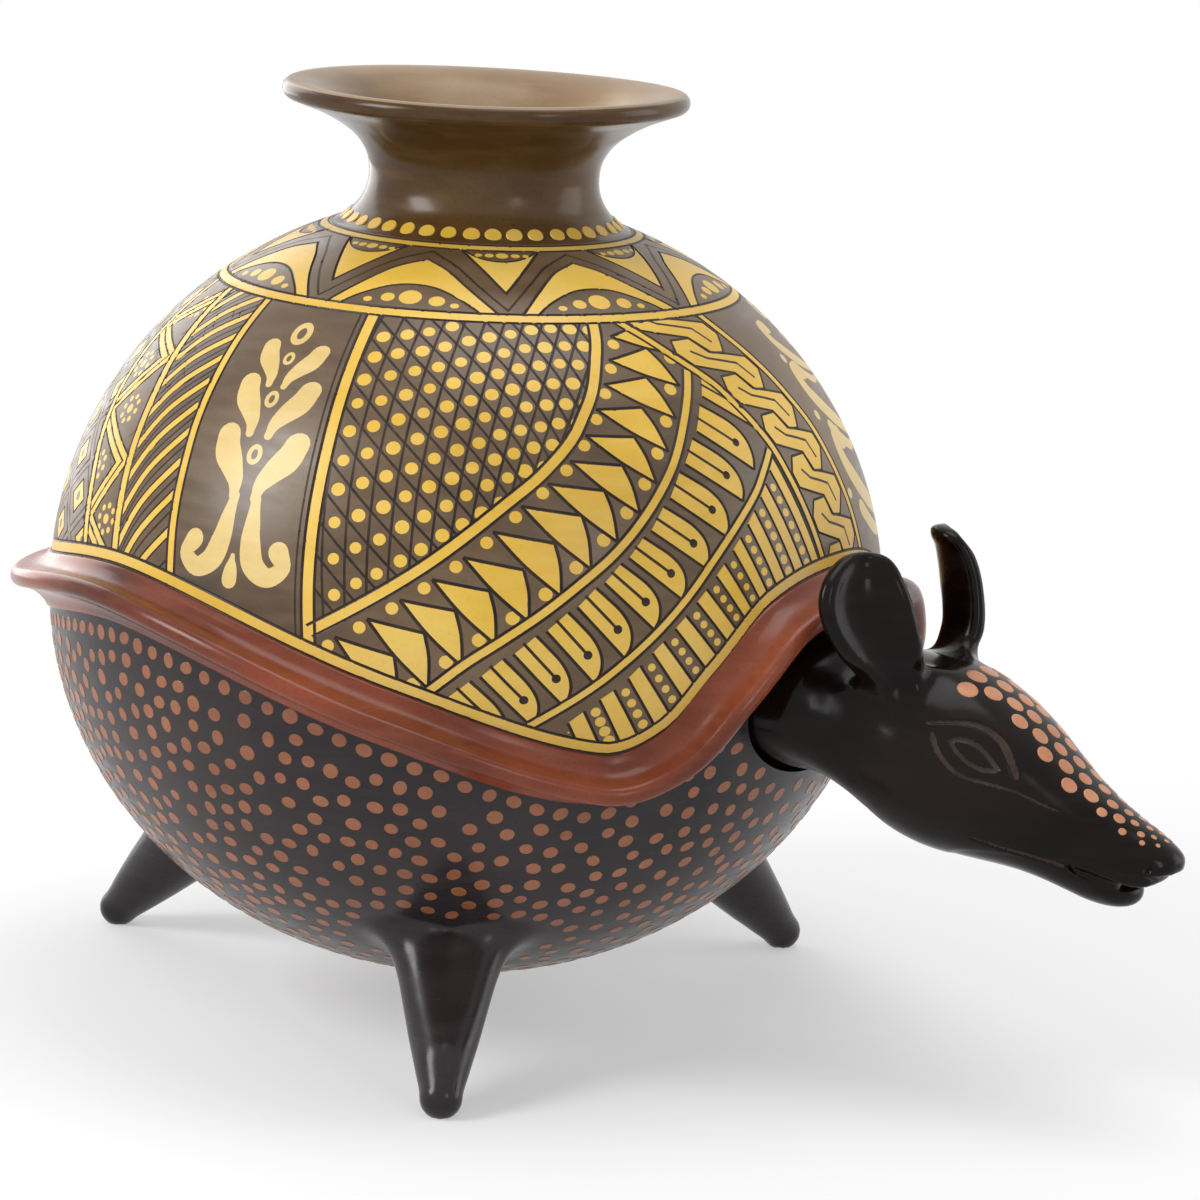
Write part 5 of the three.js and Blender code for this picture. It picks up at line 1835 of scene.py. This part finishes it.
# Thin spots of paint that follow the skin under them
def dotsOnSnout():
    chance = random.Random(4)
    sides, rings = snoutPaint["sides"], snoutPaint["rings"]
    groups = []
    for along, aside, diameter in snoutDots:
        down = np.array([[along, aside, snoutPaint["above"]]])

        # Sphere tracing straight down finds the skin
        for _ in range(60):
            gap = headDistance(*down.T)
            down[:, 2] -= np.maximum(gap, 0.002) * 0.8
        centre = settle(headDistance, down)
        normal = Vector(wayOut(centre)[0])
        first = normal.cross(Vector((0, 1, 0))).normalized()
        second = normal.cross(first)
        wide, long = (diameter / 2 * chance.uniform(*snoutPaint["larger"]) for _ in range(2))
        group = [centre[0]]
        for share in rings:
            for k in range(sides):
                a = 2 * math.pi * k / sides
                step = first * math.cos(a) * long + second * math.sin(a) * wide
                group.append(centre[0] + np.array(step) * share)
        groups.append(group)
    points = settle(headDistance, np.array(groups).reshape(-1, 3), 3)

    # The last ring sinks into the clay
    shown = 1 + (len(rings) - 1) * sides
    lift = np.tile([snoutPaint["lift"]] * shown + [-snoutPaint["sink"]] * sides, len(groups))
    points = points + wayOut(points) * lift[:, None]
    faces = []
    for g in range(len(groups)):
        first = g * len(groups[0])
        faces += [(first, first + 1 + k, first + 1 + (k + 1) % sides) for k in range(sides)]
        faces += quadRows(len(rings), sides, first + 1)
        faces.append(tuple(first + shown + k for k in range(sides))[::-1])
    obj = addObject("snout_dots", [((body["x"] + p[0]) * mm, p[1] * mm, p[2] * mm) for p in points],
                    faces, [look["slip_snout"]])
    turnOutward(obj)
    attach(obj, "head")
    print("snout dots", len(groups))


headPiece()
dotsOnSnout()

# The parts inside the body are shown as they are in the CAD
kept = {"cross_pin": "pin_wood", "cradle_right": "clay_inside", "cradle_left": "clay_inside",
        "counterweight": "clay_inside"}
for node, name in kept.items():
    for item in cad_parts[node].material_slots:
        item.material = look[name]

# The photograph's camera: its focal length is in pixels of an image this wide
shot = dict(at=(0.5929, -1.1048, 0.380), aim=(-0.465, 0.862, -0.204), up=(-0.138, 0.157, 0.978),
            focal=4697.7, image=1200.0, sensor=36, clip=(0.05, 20))


def camera():
    data = bpy.data.cameras.new("camera")
    data.sensor_width = shot["sensor"]
    data.lens = shot["focal"] / shot["image"] * shot["sensor"]
    data.clip_start, data.clip_end = shot["clip"]
    obj = bpy.data.objects.new("camera", data)
    bpy.context.collection.objects.link(obj)
    back = -Vector(shot["aim"]).normalized()
    right = Vector(shot["up"]).cross(back).normalized()
    up = back.cross(right)
    obj.matrix_world = Matrix.Translation(Vector(shot["at"])) @ Matrix(
        (right, up, back)).transposed().to_4x4()
    bpy.context.scene.camera = obj


def softLight(name, place, aim, width, height, power):
    data = bpy.data.lights.new(name, "AREA")
    data.shape = "RECTANGLE"
    data.size, data.size_y = width, height
    data.energy = power
    obj = bpy.data.objects.new(name, data)
    bpy.context.collection.objects.link(obj)
    obj.location = place
    obj.rotation_euler = (Vector(aim) - Vector(place)).to_track_quat("-Z", "Y").to_euler()


# Each light is a name, a place, an aim, a width, a height and a power
studio = dict(
    ambient=0.42, tint=(0.96, 0.97, 1.0), floor=8.0, fade=(0.14, 0.50), nearShare=0.4,
    lights=[("key", (-0.8, -1.0, 0.95), (-0.04, 0, 0.12), 0.5, 0.65, 13.5),
            ("side", (1.25, -0.65, 0.75), (0, 0, 0.12), 0.25, 0.5, 1.8),
            ("above", (0.05, 0.1, 1.5), (0, 0, 0.1), 0.9, 0.9, 8),
            ("leftEdge", (-1.15, 0.55, 0.45), (-0.04, 0, 0.12), 0.8, 1.0, 5.0),
            ("rightEdge", (1.05, 0.85, 0.5), (0, 0, 0.12), 0.7, 1.0, 4)])


# Soft even light; the eye and the gloss see a white room behind the object
def whiteRoom():
    world = bpy.data.worlds.new("room")
    world.use_nodes = True
    tree = world.node_tree
    dim = tree.nodes["Background"]
    dim.inputs["Color"].default_value = (*studio["tint"], 1)
    dim.inputs["Strength"].default_value = studio["ambient"]
    white = tree.nodes.new("ShaderNodeBackground")
    white.inputs["Color"].default_value = (1, 1, 1, 1)
    white.inputs["Strength"].default_value = 1.0
    tree.links.new(mixWhere(tree, dim.outputs[0], white.outputs[0]),
                   tree.nodes["World Output"].inputs["Surface"])
    bpy.context.scene.world = world


# The white shader for camera, glossy and transmission rays, or a share of it, and the
# plain one otherwise
def mixWhere(tree, plain, white, share=None):
    path = tree.nodes.new("ShaderNodeLightPath")
    total = path.outputs["Is Camera Ray"]
    for name in ("Is Glossy Ray", "Is Transmission Ray"):
        add = tree.nodes.new("ShaderNodeMath")
        add.operation = "MAXIMUM"
        tree.links.new(total, add.inputs[0])
        tree.links.new(path.outputs[name], add.inputs[1])
        total = add.outputs[0]
    if share is not None:
        times = tree.nodes.new("ShaderNodeMath")
        times.operation = "MULTIPLY"
        tree.links.new(total, times.inputs[0])
        tree.links.new(share, times.inputs[1])
        total = times.outputs[0]
    mix = tree.nodes.new("ShaderNodeMixShader")
    tree.links.new(total, mix.inputs["Fac"])
    tree.links.new(plain, mix.inputs[1])
    tree.links.new(white, mix.inputs[2])
    return mix.outputs[0]


# A pale floor that keeps the shadow near the object and fades to white further off
def paleFloor():
    size = studio["floor"]
    data = bpy.data.meshes.new("floor")
    data.from_pydata([(-size, -size, 0), (size, -size, 0), (size, size, 0), (-size, size, 0)], [],
                     [(0, 1, 2, 3)])
    obj = bpy.data.objects.new("floor", data)
    bpy.context.collection.objects.link(obj)
    material = newMaterial("floor", (0.9, 0.9, 0.9), 0.6, 0.2)
    nodes = Nodes(material)
    far = nodes.tree.nodes.new("ShaderNodeVectorMath")
    far.operation = "LENGTH"
    nodes.join(nodes.place, far.inputs[0])
    share = nodes.levels(far.outputs["Value"], *studio["fade"], studio["nearShare"], 1.0)
    glow = nodes.tree.nodes.new("ShaderNodeEmission")
    glow.inputs["Strength"].default_value = 1.0
    output = nodes.tree.nodes["Material Output"]
    nodes.join(mixWhere(nodes.tree, nodes.shader.outputs[0], glow.outputs[0], share),
               output.inputs["Surface"])
    data.materials.append(material)


camera()
for light in studio["lights"]:
    softLight(*light)
whiteRoom()
paleFloor()

bpy.context.scene.view_settings.view_transform = "Standard"

print("scene ready")
